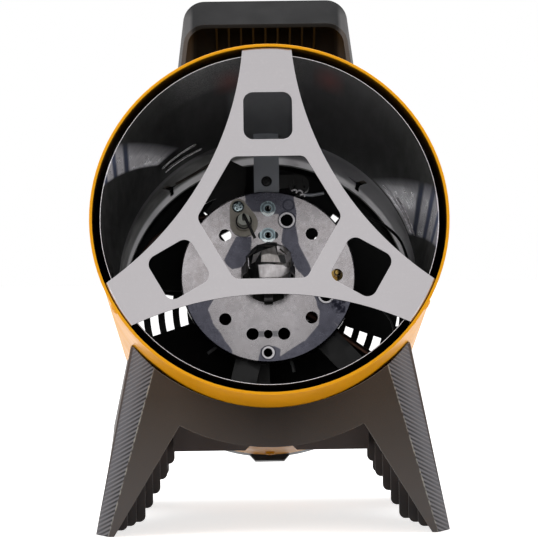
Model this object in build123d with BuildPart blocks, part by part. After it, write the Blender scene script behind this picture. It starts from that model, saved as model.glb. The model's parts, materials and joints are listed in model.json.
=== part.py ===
from build123d import *
from math import asin, cos, degrees, radians, sin, sqrt
import os

os.makedirs("parts", exist_ok=True)

# Gas forced air heater: a tilted tubular barrel on a moulded base, burner inside, fan at the rear.
# The outlet faces -Y, the ground is Z = 0, and depths run rearward along the barrel from its rim.

# Barrel
tilt = 12.0
shell_radius = 137.8
shell_wall = 1.0
shell_length = 350.0
shell_inner = shell_radius - shell_wall
lip_wire = 2.2
lip_stand = 1.2
lip_radius = shell_radius + lip_stand
rim_stand = 111.7
rim_height = shell_radius + rim_stand
running_gap = 0.3
seat_gap = 0.05
slip_gap = 0.2
overrun = 2.0

# Lining of the barrel: the black hot chamber and the grey fan duct behind it
lining_wall = 0.8
lining_space = 5.8
lining_radius = shell_inner - lining_space
lining_front = 3.2
lining_rear = 253.0
duct_rear = 342.0
lance_length = 34.0
lance_width = 3.6
lance_depth = 212.0
lance_angles = (126.0, 22.0, 270.0)
vent_depth = 303.0
vent_width = 4.2
vent_leg = 25.0
vent_slant = 7.0
vent_side = 9.0
vent_angles = (50.5, 131.0)
standoff_depths = (60.0, 198.0)
standoff_angles = (30.0, 150.0, 270.0)
standoff_width = 22.0
standoff_length = 14.0

# Outlet guard, one sheet with three arms
guard_depth = 1.0
guard_sheet = 1.5
guard_radius = shell_inner - slip_gap
guard_hollow = guard_radius * 1.867
guard_waist = guard_radius * 0.442
guard_tab = 13.0
guard_bend = 2.6
guard_window = guard_radius * 0.279
guard_window_corner = guard_window / 5
guard_window_place = guard_radius * 0.592
guard_hexagon = guard_radius * 0.355
guard_hexagon_corner = guard_hexagon / 7
guard_angles = (90.0, 210.0, 330.0)
guard_screw_depth = 8.5

# Screws that hold the barrel together
screw_radius = 2.0
screw_head = 4.7
screw_head_height = 2.4
screw_clearance = 0.2
thread_gap = 0.02

# Burner
plate_depth = 224.5
plate_radius = 75.2
plate_sheet = 1.2
plate_flange = 9.0
air_hole = 5.4
small_air_hole = 3.9
air_holes = ((17.0, 49.3), (38.4, 37.0), (-36.6, 36.7), (-37.3, -37.2), (37.0, -36.7), (-14.0, -50.4),
             (13.0, -50.5), (49.7, -17.4))
small_air_holes = ((-0.6, -50.7), (-1.0, -66.8))
centre_hole = 23.3
centre_notch = 7.6
centre_notch_depth = 1.8
strap_width = 22.0
strap_sheet = 1.5
strap_foot = 13.0
strap_overlap = 10.0
strap_screw_place = 86.8
strap_angles = (90.0, 256.0, 313.0)
cup_radius = 15.0
cup_shoulder = 16.5
cup_crown = 8.0
cup_length = 36.0
cup_crown_length = 9.0
cup_sheet = 1.0
spreader_radius = 23.0
spreader_sheet = 1.2
prong_count = 8
prong_width = 7.5
prong_rise = 20.0
prong_reach = 40.0
prong_lean = 4.5
venturi_radius = 14.0
venturi_wall = 1.5
venturi_length = 42.0
venturi_flange = 28.0
venturi_flange_sheet = 2.0
venturi_slot = 7.0
venturi_slot_length = 16.0
injector_length = 24.0
injector_insert = 9.0
injector_jet = 4.0
injector_jet_length = 8.0

# Gas tube from the valve up to the injector
tube_angle = -35.0
tube_radius = 4.0
tube_exit = shell_radius + 12.2
tube_bend = 9.0
grommet_radius = 9.0
grommet_sheet = 2.2

# Igniter, sensor and rivet nuts on the burner plate
igniter_place = (-20.3, 47.0)
igniter_screw_place = (-25.1, 61.4)
igniter_flange = 12.1
igniter_flange_end = 7.0
igniter_sheet = 2.0
ceramic_radius = 5.2
ceramic_collar = 7.6
ceramic_front = 16.0
ceramic_back = 24.0
electrode_radius = 1.3
electrode_reach = 35.0
electrode_tip = (-10.9, 25.8)
electrode_bend = 3.0
rivet_places = ((0.8, 59.7), (0.6, 36.0))
rivet_radius = 6.7
rivet_sheet = 1.2
rivet_bore = 2.4
rivet_body = 4.4
rivet_length = 9.0
rivet_ear = 17.5
rivet_ear_width = 6.5
sensor_place = (59.4, 0.4)
sensor_radius = 3.0
sensor_nut = 7.4
sensor_nut_length = 5.0
sensor_front = 12.0
sensor_back = 26.0
switch_place = (28.5, 82.0)
switch_radius = 8.5
switch_height = 8.0
switch_strip = 12.0
switch_terminal = 6.3
switch_terminal_length = 9.0

# Rear cover with its round grille
cover_radius = shell_radius
cover_skirt = shell_inner - slip_gap
cover_front = 328.0
cover_wall = 1.8
cover_end = 371.0
cover_bevel = 5.0
cover_seat = 3.0
grille_sheet = 3.0
grille_centre = 47.0
grille_slot = 7.3
grille_rings = 6
grille_spokes = 12
grille_spoke = 4.5
grille_spoke_start = 20.0
cover_tab_width = 36.0
cover_tab_end = 26.0
cover_tab_height = 4.5
cover_tab_length = 10.0
cover_screw_depth = 336.0
cover_screw_angles = (30.0, 150.0, 270.0)

# Fan and motor
fan_tip_gap = 12.2
fan_radius = lining_radius - lining_wall - fan_tip_gap
fan_depth = 318.0
fan_hub = 24.0
fan_hub_length = 22.0
fan_hub_wall = 3.0
fan_blades = 5
fan_phase = 7.0
blade_sheet = 2.0
blade_half_angle = 29.5
blade_root_pitch = 40.0
blade_tip_pitch = 18.0
shaft_radius = 4.0
shaft_fit = 0.05
motor_radius = 40.0
motor_front = 335.0
motor_bearing = 12.0
motor_bearing_length = 4.0
motor_bore = 24.0
motor_groove = 1.6
motor_groove_width = 3.0
motor_screw_circle = 30.0
motor_screw_reach = 8.0

# Carrying handle: a ribbed hood over the barrel
handle_front = 125.0
handle_crest = 150.0
handle_rear = 165.0
handle_front_top = rim_height + shell_radius + 23.2
handle_top = handle_front_top + 21.7
handle_foot = handle_top - 106.0
handle_front_half = shell_radius * 0.476
handle_top_half = shell_radius * 0.48
handle_slope_share = 0.128
handle_corner = 18.0
handle_wall = 3.0
handle_opening = handle_front_top - 19.0
handle_opening_half = handle_front_half - 13.8
handle_opening_corner = 14.0
handle_ribs = 9
handle_rib_pitch = 10.1
handle_rib = 1.5
handle_screw_angle = 60.5
handle_screw_depths = (117.0, 130.0)
boss_radius = 5.2
handle_boss_length = 6.5
handle_screw_reach = 6.0

# Moulded base
base_front = 40.0
base_rear = 330.0
base_wall = 3.0
fascia_depth = 20.0
crown_outer = shell_radius - 28.8
crown_facet = crown_outer - 17.0
foot_outer = crown_outer + 31.7
foot_facet = foot_outer - 10.9
foot_inner = foot_outer - 15.4
crown_height = rim_height - 101.1
saddle_height = 100.0
arch_height = 68.8
arch_half = crown_outer - 36.4
arch_side_height = 86.7
rear_crown_height = rim_height - 94.5
rear_crown_outer = foot_outer - 18.5
rear_lean_height = 69.0
side_foot = 35.0
side_heel = 60.0
side_heel_height = 8.0
side_peak_half = 8.0
side_peak_height = 50.0
side_peak_corner = 12.0
side_arch_cut = 10.0
rib_front = 60.0
rib_pitch = 20.0
rib_sheet = 3.0
rib_widths = (25.0, 31.1, 37.5, 43.0, 48.4, 53.6, 59.2)
rib_heights = (2.5, 3.8, 4.9, 14.1, 24.0, 34.0, 45.3)
rear_ribs = 1
rib_corner = 5.0
base_boss_length = 13.0
base_screw_reach = 6.5
base_boss_places = ((-40.0, 95.0), (-36.0, 255.0))
panel_half = foot_outer - 59.5
panel_front = 150.0
panel_rear = 230.0
panel_height = 58.2
panel_wall = 2.5
panel_notch_foot = 21.6
panel_notch_top = 12.0
panel_notch_height = 9.0

# Rear corner panels with the gas and electric controls
corner_height = 42.0
corner_inset = foot_outer - 42.2
corner_top = 118.0
corner_sheet = 3.0
corner_inner = foot_outer - 3.6
corner_lean = corner_inner - (foot_outer - rear_crown_outer) * (corner_top - rear_lean_height) / (
    rear_crown_height - rear_lean_height)
valve_left = foot_outer - 31.2
valve_right = foot_outer - 11.2
valve_bottom = 47.0
valve_top = 92.0
valve_length = 38.0
inlet_place = (foot_outer - 21.7, 58.0)
inlet_radius = 6.6
inlet_hex = 9.0
inlet_hex_length = 8.0
inlet_length = 20.0
inlet_bore = 3.5
inlet_groove = 0.7
stem_place = (foot_outer - 19.6, 80.5)
stem_radius = 3.0
stem_length = 9.0
knob_radius = 10.5
knob_length = 15.0
knob_skirt = 3.0
knob_fit = 0.05
knob_grip = 3.4
rocker_place = (18.7 - foot_outer, 84.0)
rocker_width = 13.0
rocker_height = 20.0
rocker_bezel = 2.0
rocker_bezel_height = 1.5
rocker_depth = 5.0
rocker_proud = 3.0
rocker_tilt = 8.0
rocker_body_length = 26.0
button_place = (32.7 - foot_outer, 57.0)
button_radius = 6.0
button_collar = 8.0
button_collar_height = 5.0
button_travel = 5.0
button_proud = 9.0
button_length = 14.0
piezo_radius = 7.4
piezo_length = 34.0
gland_place = (13.7 - foot_outer, 55.0)
gland_radius = 7.0
gland_neck = 5.0
gland_length = 14.0
gland_bore = 3.6

# The barrel's frame: where the rim is and which way the barrel runs
front_reach = lip_radius * sin(radians(tilt))
rear_reach = cover_end * cos(radians(tilt)) + (cover_radius - cover_bevel) * sin(radians(tilt))
rim_place = (front_reach - rear_reach) / 2
rim_centre = Vector(0, rim_place, rim_height)
rearward = Vector(0, cos(radians(tilt)), -sin(radians(tilt)))
upward = Vector(0, sin(radians(tilt)), cos(radians(tilt)))
barrel_axis = Axis(rim_centre, rearward)


def barrel(depth):
    """Plane square to the barrel at a depth, its z axis toward the outlet, y up."""
    return Plane(origin=rim_centre + rearward * depth, x_dir=(1, 0, 0), z_dir=-rearward)


def lengthwise():
    """Plane through the barrel's axis: x is the depth and y the radius, upward."""
    return Plane(origin=rim_centre, x_dir=rearward, z_dir=(1, 0, 0))


def radial(angle, depth):
    """Plane through the barrel's axis at a depth, its z axis outward at an angle, x rearward."""
    outward = Vector(1, 0, 0) * cos(radians(angle)) + upward * sin(radians(angle))
    return Plane(origin=rim_centre + rearward * depth, x_dir=rearward, z_dir=outward)


def upright(place):
    """Upright plane at a distance behind the rim: x across, y up, facing the outlet."""
    return Plane(origin=(0, rim_place + place, 0), x_dir=(1, 0, 0), z_dir=(0, -1, 0))


def side_on(across):
    """Upright plane along the heater: x is the distance behind the rim, y is up."""
    return Plane(origin=(across, rim_place, 0), x_dir=(0, 1, 0), z_dir=(1, 0, 0))


# Outer shell: rolled sheet tube with a wired edge at the outlet
inner_head_seat = sqrt(shell_inner ** 2 - screw_head ** 2) - seat_gap
with BuildPart() as outer_shell:
    with BuildSketch(lengthwise()):
        with Locations((shell_length / 2, shell_radius - shell_wall / 2)):
            Rectangle(shell_length, shell_wall)
        with Locations((lip_wire / 2, lip_radius - lip_wire / 2)):
            Circle(lip_wire / 2)
    revolve(axis=barrel_axis)
    screw_hole = screw_radius + screw_clearance
    with BuildSketch(*[radial(angle, guard_screw_depth) for angle in guard_angles]):
        Circle(screw_hole)
    extrude(amount=lip_radius, mode=Mode.SUBTRACT)
    with BuildSketch(*[radial(angle, cover_screw_depth) for angle in cover_screw_angles]):
        Circle(screw_hole)
    extrude(amount=lip_radius, mode=Mode.SUBTRACT)
    handle_screw_angles = (handle_screw_angle, 180 - handle_screw_angle)
    with BuildSketch(*[radial(angle, depth) for angle in handle_screw_angles for depth in handle_screw_depths]):
        Circle(screw_hole)
    extrude(amount=lip_radius, mode=Mode.SUBTRACT)
    base_screw_places = base_boss_places + tuple((180 - angle, depth) for angle, depth in base_boss_places)
    with BuildSketch(*[radial(angle, depth) for angle, depth in base_screw_places]):
        Circle(screw_hole)
    extrude(amount=lip_radius, mode=Mode.SUBTRACT)
    tube_depth = plate_depth + plate_sheet + venturi_length + (injector_length - injector_insert) / 2
    with BuildSketch(radial(tube_angle, tube_depth)):
        Circle(grommet_radius - grommet_sheet)
    extrude(amount=lip_radius, mode=Mode.SUBTRACT)
outer_shell.part.label = "outer_shell"
export_step(outer_shell.part, "parts/outer_shell.step")

# Inner cylinder: the black hot chamber, with three pressed lances near its rear
with BuildPart() as inner_cylinder:
    with BuildSketch(barrel(lining_front)):
        Circle(lining_radius)
        Circle(lining_radius - lining_wall, mode=Mode.SUBTRACT)
    extrude(amount=lining_front - lining_rear)
    with BuildSketch(*[radial(angle, lance_depth) for angle in lance_angles]):
        SlotOverall(lance_length, lance_width, rotation=90)
    extrude(amount=lip_radius, mode=Mode.SUBTRACT)
inner_cylinder.part.label = "inner_cylinder"
export_step(inner_cylinder.part, "parts/inner_cylinder.step")

# Fan duct: grey sheet lining behind the chamber, with three Y-shaped air cuts
duct_tube_gap = tube_radius + grommet_sheet
with BuildPart() as fan_duct:
    with BuildSketch(barrel(lining_rear)):
        Circle(lining_radius)
        Circle(lining_radius - lining_wall, mode=Mode.SUBTRACT)
    extrude(amount=lining_rear - duct_rear)
    for angle, hand in zip(vent_angles, (1, -1)):
        with BuildSketch(radial(angle, vent_depth)):
            for along, beside in ((vent_leg, 0), (-vent_leg, -hand * vent_slant), (0, hand * vent_side)):
                SlotCenterPoint((along / 2, beside / 2), (along, beside), vent_width)
        extrude(amount=lip_radius, mode=Mode.SUBTRACT)
    with BuildSketch(radial(tube_angle, tube_depth)):
        Circle(duct_tube_gap)
    extrude(amount=lip_radius, mode=Mode.SUBTRACT)
fan_duct.part.label = "fan_duct"
export_step(fan_duct.part, "parts/fan_duct.step")

# Chamber standoffs: curved blocks that hold the lining clear of the shell
with BuildPart() as chamber_standoffs:
    standoff_outer = shell_inner - seat_gap
    standoff_inner = lining_radius + seat_gap
    standoff_half = degrees(asin(standoff_width / 2 / standoff_outer))
    for depth in standoff_depths:
        for angle in standoff_angles:
            with BuildSketch(barrel(depth)):
                with BuildLine():
                    outside = CenterArc((0, 0), standoff_outer, angle - standoff_half, 2 * standoff_half)
                    inside = CenterArc((0, 0), standoff_inner, angle - standoff_half, 2 * standoff_half)
                    Line(outside @ 0, inside @ 0)
                    Line(outside @ 1, inside @ 1)
                make_face()
            extrude(amount=-standoff_length)
chamber_standoffs.part.label = "chamber_standoffs"
export_step(chamber_standoffs.part, "parts/chamber_standoffs.step")

# Front guard: stainless dish with a bent rim, cut by three large circles into three arms
with BuildPart() as front_guard:
    with BuildSketch(lengthwise()):
        with BuildLine():
            guard_back = guard_depth + guard_sheet
            guard_flat = guard_radius - guard_bend
            Line((guard_back, 0), (guard_depth, 0))
            Line((guard_depth, 0), (guard_depth, guard_flat))
            RadiusArc((guard_depth, guard_flat), (guard_depth + guard_bend, guard_radius), guard_bend)
            Line((guard_depth + guard_bend, guard_radius), (guard_depth + guard_tab, guard_radius))
            Line((guard_depth + guard_tab, guard_radius), (guard_depth + guard_tab, guard_radius - guard_sheet))
            Line((guard_depth + guard_tab, guard_radius - guard_sheet),
                 (guard_depth + guard_bend, guard_radius - guard_sheet))
            RadiusArc((guard_depth + guard_bend, guard_radius - guard_sheet), (guard_back, guard_flat),
                      guard_sheet - guard_bend)
            Line((guard_back, guard_flat), (guard_back, 0))
        make_face()
    revolve(axis=barrel_axis)
    with BuildSketch(barrel(guard_depth - overrun)):
        with PolarLocations(guard_hollow + guard_waist, 3, start_angle=guard_angles[0] - 60):
            Circle(guard_hollow)
    extrude(amount=-(guard_tab + 2 * overrun), mode=Mode.SUBTRACT)
    with BuildSketch(barrel(guard_depth)) as hexagon:
        RegularPolygon(radius=guard_hexagon, side_count=6, major_radius=False)
        fillet(hexagon.vertices(), guard_hexagon_corner)
    extrude(amount=-guard_sheet, mode=Mode.SUBTRACT)
    with BuildSketch(barrel(guard_depth)):
        with PolarLocations(guard_window_place, 3, start_angle=guard_angles[0]):
            RectangleRounded(guard_window, guard_window, guard_window_corner)
    extrude(amount=-guard_sheet, mode=Mode.SUBTRACT)
    with BuildSketch(*[radial(angle, guard_screw_depth) for angle in guard_angles]):
        Circle(screw_radius + thread_gap)
    extrude(amount=lip_radius, mode=Mode.SUBTRACT)
front_guard.part.label = "front_guard"
export_step(front_guard.part, "parts/front_guard.step")


def pan_screw(plane, head_at, reach):
    """Pan-head screw on a plane's z axis: the head stands outward from head_at, the shank goes back."""
    with BuildPart() as screw:
        with BuildSketch(plane.offset(head_at)):
            Circle(screw_head)
        extrude(amount=screw_head_height)
        fillet(screw.edges().sort_by(Axis(plane.origin, plane.z_dir))[-1], screw_head_height / 2)
        with BuildSketch(plane.offset(head_at)):
            Circle(screw_radius)
        extrude(amount=-reach)
    return screw.part


# Guard screws: through the shell's edge into the guard's tabs
guard_screw_reach = shell_wall + guard_bend + screw_radius
with BuildPart() as guard_screws:
    for angle in guard_angles:
        add(pan_screw(radial(angle, guard_screw_depth), shell_radius, guard_screw_reach))
guard_screws.part.label = "guard_screws"
export_step(guard_screws.part, "parts/guard_screws.step")

# Burner plate: pressed dish with its air holes
with BuildPart() as burner_plate:
    with BuildSketch(barrel(plate_depth)):
        Circle(plate_radius)
    extrude(amount=-plate_sheet)
    with BuildSketch(barrel(plate_depth + plate_sheet)):
        Circle(plate_radius)
        Circle(plate_radius - plate_sheet, mode=Mode.SUBTRACT)
    extrude(amount=-plate_flange)
    fillet(burner_plate.edges().group_by(barrel_axis)[0], plate_sheet)
    with BuildSketch(barrel(plate_depth)):
        Circle(centre_hole)
        with Locations((0, -centre_hole)):
            Rectangle(centre_notch, 2 * centre_notch_depth)
        with Locations(*air_holes):
            Circle(air_hole)
        with Locations(*small_air_holes):
            Circle(small_air_hole)
        with Locations(igniter_place):
            Circle(ceramic_radius + running_gap)
        with Locations(igniter_screw_place):
            Circle(screw_radius + thread_gap)
        with Locations(sensor_place):
            Circle(air_hole)
        with Locations(*rivet_places):
            Circle(rivet_body + thread_gap)
    extrude(amount=-plate_sheet, mode=Mode.SUBTRACT)
burner_plate.part.label = "burner_plate"
export_step(burner_plate.part, "parts/burner_plate.step")

# Burner straps: three sheet arms from the plate's flange to the lining
strap_depth = plate_depth + plate_sheet + plate_flange
strap_inner = plate_radius - strap_overlap
strap_outer = lining_radius - lining_wall - seat_gap
with BuildPart() as burner_straps:
    for angle in strap_angles:
        with BuildSketch(barrel(strap_depth)) as arm:
            Circle(strap_outer)
            Circle(strap_inner, mode=Mode.SUBTRACT)
            with PolarLocations((strap_inner + strap_outer) / 2, 1, start_angle=angle):
                Rectangle(strap_outer, strap_width, mode=Mode.INTERSECT)
        extrude(amount=-strap_sheet)
        strap_half = degrees(asin(strap_width / 2 / strap_outer))
        with BuildSketch(barrel(strap_depth)):
            with BuildLine():
                outside = CenterArc((0, 0), strap_outer, angle - strap_half, 2 * strap_half)
                inside = CenterArc((0, 0), strap_outer - strap_sheet, angle - strap_half, 2 * strap_half)
                Line(outside @ 0, inside @ 0)
                Line(outside @ 1, inside @ 1)
            make_face()
        extrude(amount=-strap_foot)
    with BuildSketch(barrel(strap_depth)):
        with PolarLocations(strap_screw_place, 1, start_angle=strap_angles[0]):
            Circle(screw_radius + thread_gap)
    extrude(amount=-strap_sheet, mode=Mode.SUBTRACT)
burner_straps.part.label = "burner_straps"
export_step(burner_straps.part, "parts/burner_straps.step")

# Strap screw on the upper strap
strap_screw_centre = rim_centre + rearward * strap_depth + upward * strap_screw_place
with BuildPart() as strap_screw:
    add(pan_screw(Plane(origin=strap_screw_centre, x_dir=(1, 0, 0), z_dir=-rearward), 0, strap_foot))
strap_screw.part.label = "strap_screw"
export_step(strap_screw.part, "parts/strap_screw.step")

# Flame cup: thin eight-sided cup on the venturi's flange, widest at its shoulder, with a low crown
venturi_front = plate_depth + plate_sheet
with BuildPart() as flame_cup:
    shoulder_depth = venturi_front - cup_length
    crown_depth = shoulder_depth - cup_crown_length
    cup_wall = (cup_radius, venturi_front, 0, cup_shoulder, shoulder_depth)
    cup_top = (cup_shoulder, shoulder_depth, 1, cup_crown, crown_depth)
    for skin, mode in ((0, Mode.ADD), (cup_sheet, Mode.SUBTRACT)):
        for radius, depth, turn, end_radius, end_depth in (cup_wall, cup_top):
            sunk = skin if turn else 0
            with BuildSketch(barrel(depth + sunk)):
                RegularPolygon(radius=radius - skin, side_count=8, rotation=turn * 360 / 8 / 2)
            with BuildSketch(barrel(end_depth + skin * turn)):
                RegularPolygon(radius=end_radius - skin, side_count=8, rotation=360 / 8 / 2)
            loft(ruled=True, mode=mode)
flame_cup.part.label = "flame_cup"
export_step(flame_cup.part, "parts/flame_cup.step")

# Flame spreader: ring in the plate's centre with prongs that rise and lean in round the cup
with BuildPart() as flame_spreader:
    with BuildSketch(barrel(venturi_front)):
        Circle(spreader_radius)
        Circle(cup_radius + running_gap, mode=Mode.SUBTRACT)
    extrude(amount=spreader_sheet)
    for number in range(prong_count):
        prong_angle = 360 * number / prong_count
        prong_plane = radial(prong_angle, venturi_front - spreader_sheet / 2)
        with BuildSketch(Plane(origin=prong_plane.origin, x_dir=prong_plane.z_dir, z_dir=-prong_plane.y_dir)):
            with BuildLine():
                knee = prong_rise
                tip = prong_reach
                drop = spreader_radius - prong_lean
                Polyline((spreader_radius, 0), (spreader_radius, knee), (drop, tip),
                         (drop - spreader_sheet, tip), (spreader_radius - spreader_sheet, knee),
                         (spreader_radius - spreader_sheet, 0), close=True)
            make_face()
        extrude(amount=prong_width / 2, both=True)
flame_spreader.part.label = "flame_spreader"
export_step(flame_spreader.part, "parts/flame_spreader.step")

# Burner venturi: mixing tube behind the plate, with air slots in its wall
with BuildPart() as burner_venturi:
    with BuildSketch(barrel(venturi_front)):
        Circle(venturi_flange)
        Circle(venturi_radius - venturi_wall, mode=Mode.SUBTRACT)
    extrude(amount=-venturi_flange_sheet)
    with BuildSketch(barrel(venturi_front)):
        Circle(venturi_radius)
        Circle(venturi_radius - venturi_wall, mode=Mode.SUBTRACT)
    extrude(amount=-venturi_length)
    slot_depth = venturi_front + venturi_length / 2
    with BuildSketch(*[radial(angle, slot_depth) for angle in (0, 90, 180, 270)]):
        SlotOverall(venturi_slot_length, venturi_slot)
    extrude(amount=venturi_radius + overrun, mode=Mode.SUBTRACT)
burner_venturi.part.label = "burner_venturi"
export_step(burner_venturi.part, "parts/burner_venturi.step")

# Gas injector: brass body in the venturi's end, with its jet forward and the tube's socket at its side
injector_radius = venturi_radius - venturi_wall - seat_gap
injector_front = venturi_front + venturi_length - injector_insert
with BuildPart() as gas_injector:
    with BuildSketch(barrel(injector_front)):
        Circle(injector_radius)
    extrude(amount=-injector_length)
    with BuildSketch(barrel(injector_front)):
        Circle(injector_jet)
    extrude(amount=injector_jet_length)
    with BuildSketch(radial(tube_angle, tube_depth).offset(injector_radius - tube_radius)):
        Circle(tube_radius + seat_gap)
    extrude(amount=injector_radius, mode=Mode.SUBTRACT)
gas_injector.part.label = "gas_injector"
export_step(gas_injector.part, "parts/gas_injector.step")

# Gas tube: from the injector out through the shell and back to the valve's front
valve_rear = base_rear - corner_sheet - corner_sheet
valve_front = valve_rear - valve_length
tube_start = radial(tube_angle, tube_depth).from_local_coords((0, 0, injector_radius - tube_radius))
tube_knee = radial(tube_angle, tube_depth).from_local_coords((0, 0, tube_exit))
port_across = (valve_left + valve_right) / 2
port_height = (valve_bottom + valve_top) / 2
tube_end = Vector(port_across, rim_place + valve_front, port_height)
tube_turn = Vector(port_across, rim_place + valve_front - valve_length / 2, port_height)
with BuildPart() as gas_tube:
    with BuildLine() as tube_route:
        FilletPolyline(tube_start, tube_knee, tube_turn, tube_end, radius=tube_bend)
    with BuildSketch(Plane(origin=tube_route.line @ 0, z_dir=tube_route.line % 0)):
        Circle(tube_radius)
    sweep()
gas_tube.part.label = "gas_tube"
export_step(gas_tube.part, "parts/gas_tube.step")

# Tube grommet: rubber ring where the gas tube leaves the shell
with BuildPart() as tube_grommet:
    with BuildSketch(radial(tube_angle, tube_depth).offset(lining_radius + running_gap)):
        Circle(grommet_radius - grommet_sheet - seat_gap)
    extrude(amount=lip_radius + grommet_sheet - lining_radius)
    with BuildSketch(radial(tube_angle, tube_depth).offset(lining_radius)):
        Circle(grommet_radius)
    extrude(amount=lip_radius + grommet_sheet - lining_radius)
    with BuildSketch(barrel(tube_depth - grommet_radius - overrun)):
        Circle(shell_radius + seat_gap)
        Circle(shell_inner - seat_gap, mode=Mode.SUBTRACT)
    extrude(amount=-2 * (grommet_radius + overrun), mode=Mode.SUBTRACT)
    with BuildSketch(barrel(tube_depth - grommet_radius - overrun)):
        Circle(shell_inner - seat_gap)
    extrude(amount=-2 * (grommet_radius + overrun), mode=Mode.SUBTRACT)
    with BuildSketch(radial(tube_angle, tube_depth)):
        Circle(tube_radius + seat_gap)
    extrude(amount=lip_radius + lip_radius, mode=Mode.SUBTRACT)
tube_grommet.part.label = "tube_grommet"
export_step(tube_grommet.part, "parts/tube_grommet.step")

# Igniter insulator: pear-shaped flange with a ceramic body through the plate
with BuildPart() as igniter_insulator:
    with BuildSketch(barrel(plate_depth)) as pear:
        with Locations(igniter_place):
            Circle(igniter_flange)
        with Locations(igniter_screw_place):
            Circle(igniter_flange_end)
        make_hull()
        with Locations(igniter_screw_place):
            Circle(screw_radius + thread_gap, mode=Mode.SUBTRACT)
    extrude(amount=igniter_sheet)
    with BuildSketch(barrel(plate_depth)):
        with Locations(igniter_place):
            Circle(ceramic_collar)
    extrude(amount=ceramic_front / 2)
    with BuildSketch(barrel(plate_depth + ceramic_back)):
        with Locations(igniter_place):
            Circle(ceramic_radius)
    extrude(amount=ceramic_back + ceramic_front)
    with BuildSketch(barrel(plate_depth + ceramic_back)):
        with Locations(igniter_place):
            Circle(electrode_radius + seat_gap)
    extrude(amount=ceramic_back + ceramic_front, mode=Mode.SUBTRACT)
igniter_insulator.part.label = "igniter_insulator"
export_step(igniter_insulator.part, "parts/igniter_insulator.step")

# Igniter electrode: wire through the ceramic, bent toward the flame cup
with BuildPart() as igniter_electrode:
    bend_plane = barrel(plate_depth - electrode_reach)
    wire_start = barrel(plate_depth + ceramic_back).from_local_coords(igniter_place + (0,))
    wire_bend = bend_plane.from_local_coords(igniter_place + (0,))
    wire_tip = bend_plane.from_local_coords(electrode_tip + (0,))
    with BuildLine() as wire_route:
        FilletPolyline(wire_start, wire_bend, wire_tip, radius=electrode_bend)
    with BuildSketch(Plane(origin=wire_route.line @ 0, z_dir=wire_route.line % 0)):
        Circle(electrode_radius)
    sweep()
igniter_electrode.part.label = "igniter_electrode"
export_step(igniter_electrode.part, "parts/igniter_electrode.step")

# Igniter screw
igniter_screw_centre = barrel(plate_depth).from_local_coords(igniter_screw_place + (0,))
igniter_screw_plane = Plane(origin=igniter_screw_centre, x_dir=(1, 0, 0), z_dir=-rearward)
with BuildPart() as igniter_screw:
    add(pan_screw(igniter_screw_plane, igniter_sheet, igniter_sheet + plate_sheet + screw_radius))
igniter_screw.part.label = "igniter_screw"
export_step(igniter_screw.part, "parts/igniter_screw.step")

# Plate rivet nuts: two flanged threaded bushes, the lower one with ears
with BuildPart() as plate_rivet_nuts:
    with BuildSketch(barrel(plate_depth)):
        with Locations(*rivet_places):
            Circle(rivet_radius)
        with Locations(rivet_places[1]):
            SlotOverall(rivet_ear, rivet_ear_width)
    extrude(amount=rivet_sheet)
    with BuildSketch(barrel(plate_depth + rivet_length)):
        with Locations(*rivet_places):
            Circle(rivet_body)
    extrude(amount=rivet_length)
    with BuildSketch(barrel(plate_depth + rivet_length)):
        with Locations(*rivet_places):
            Circle(rivet_bore)
    extrude(amount=rivet_length + rivet_sheet, mode=Mode.SUBTRACT)
plate_rivet_nuts.part.label = "plate_rivet_nuts"
export_step(plate_rivet_nuts.part, "parts/plate_rivet_nuts.step")

# Flame sensor: thermocouple tip in its clamp nut behind the plate
with BuildPart() as flame_sensor:
    with BuildSketch(barrel(venturi_front)):
        with Locations(sensor_place):
            RegularPolygon(radius=sensor_nut, side_count=6, major_radius=False)
    extrude(amount=-sensor_nut_length)
    with BuildSketch(barrel(plate_depth - sensor_front)):
        with Locations(sensor_place):
            Circle(sensor_radius)
    extrude(amount=-(sensor_front + sensor_back))
    fillet(flame_sensor.edges().sort_by(barrel_axis)[0], sensor_radius / 2)
flame_sensor.part.label = "flame_sensor"
export_step(flame_sensor.part, "parts/flame_sensor.step")

# Overheat switch: disc thermostat on a strip held by the strap's screw, with two terminals
switch_seat = strap_depth + strap_sheet
strip_reach = switch_place[0] + strap_width / 2
with BuildPart() as overheat_switch:
    with BuildSketch(barrel(switch_seat)):
        with Locations((switch_place[0] - strip_reach / 2, strap_screw_place)):
            Rectangle(strip_reach, switch_strip)
        with Locations(switch_place):
            Circle(switch_radius)
        with Locations((0, strap_screw_place)):
            Circle(screw_radius + thread_gap, mode=Mode.SUBTRACT)
    extrude(amount=-strap_sheet)
    with BuildSketch(barrel(switch_seat)):
        with Locations(switch_place):
            Circle(switch_radius)
    extrude(amount=switch_height)
    with BuildSketch(barrel(switch_seat - switch_height)):
        with Locations(switch_place):
            with GridLocations(switch_radius, 0, 2, 1):
                Rectangle(strap_sheet, switch_terminal)
    extrude(amount=switch_terminal_length)
overheat_switch.part.label = "overheat_switch"
export_step(overheat_switch.part, "parts/overheat_switch.step")

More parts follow.
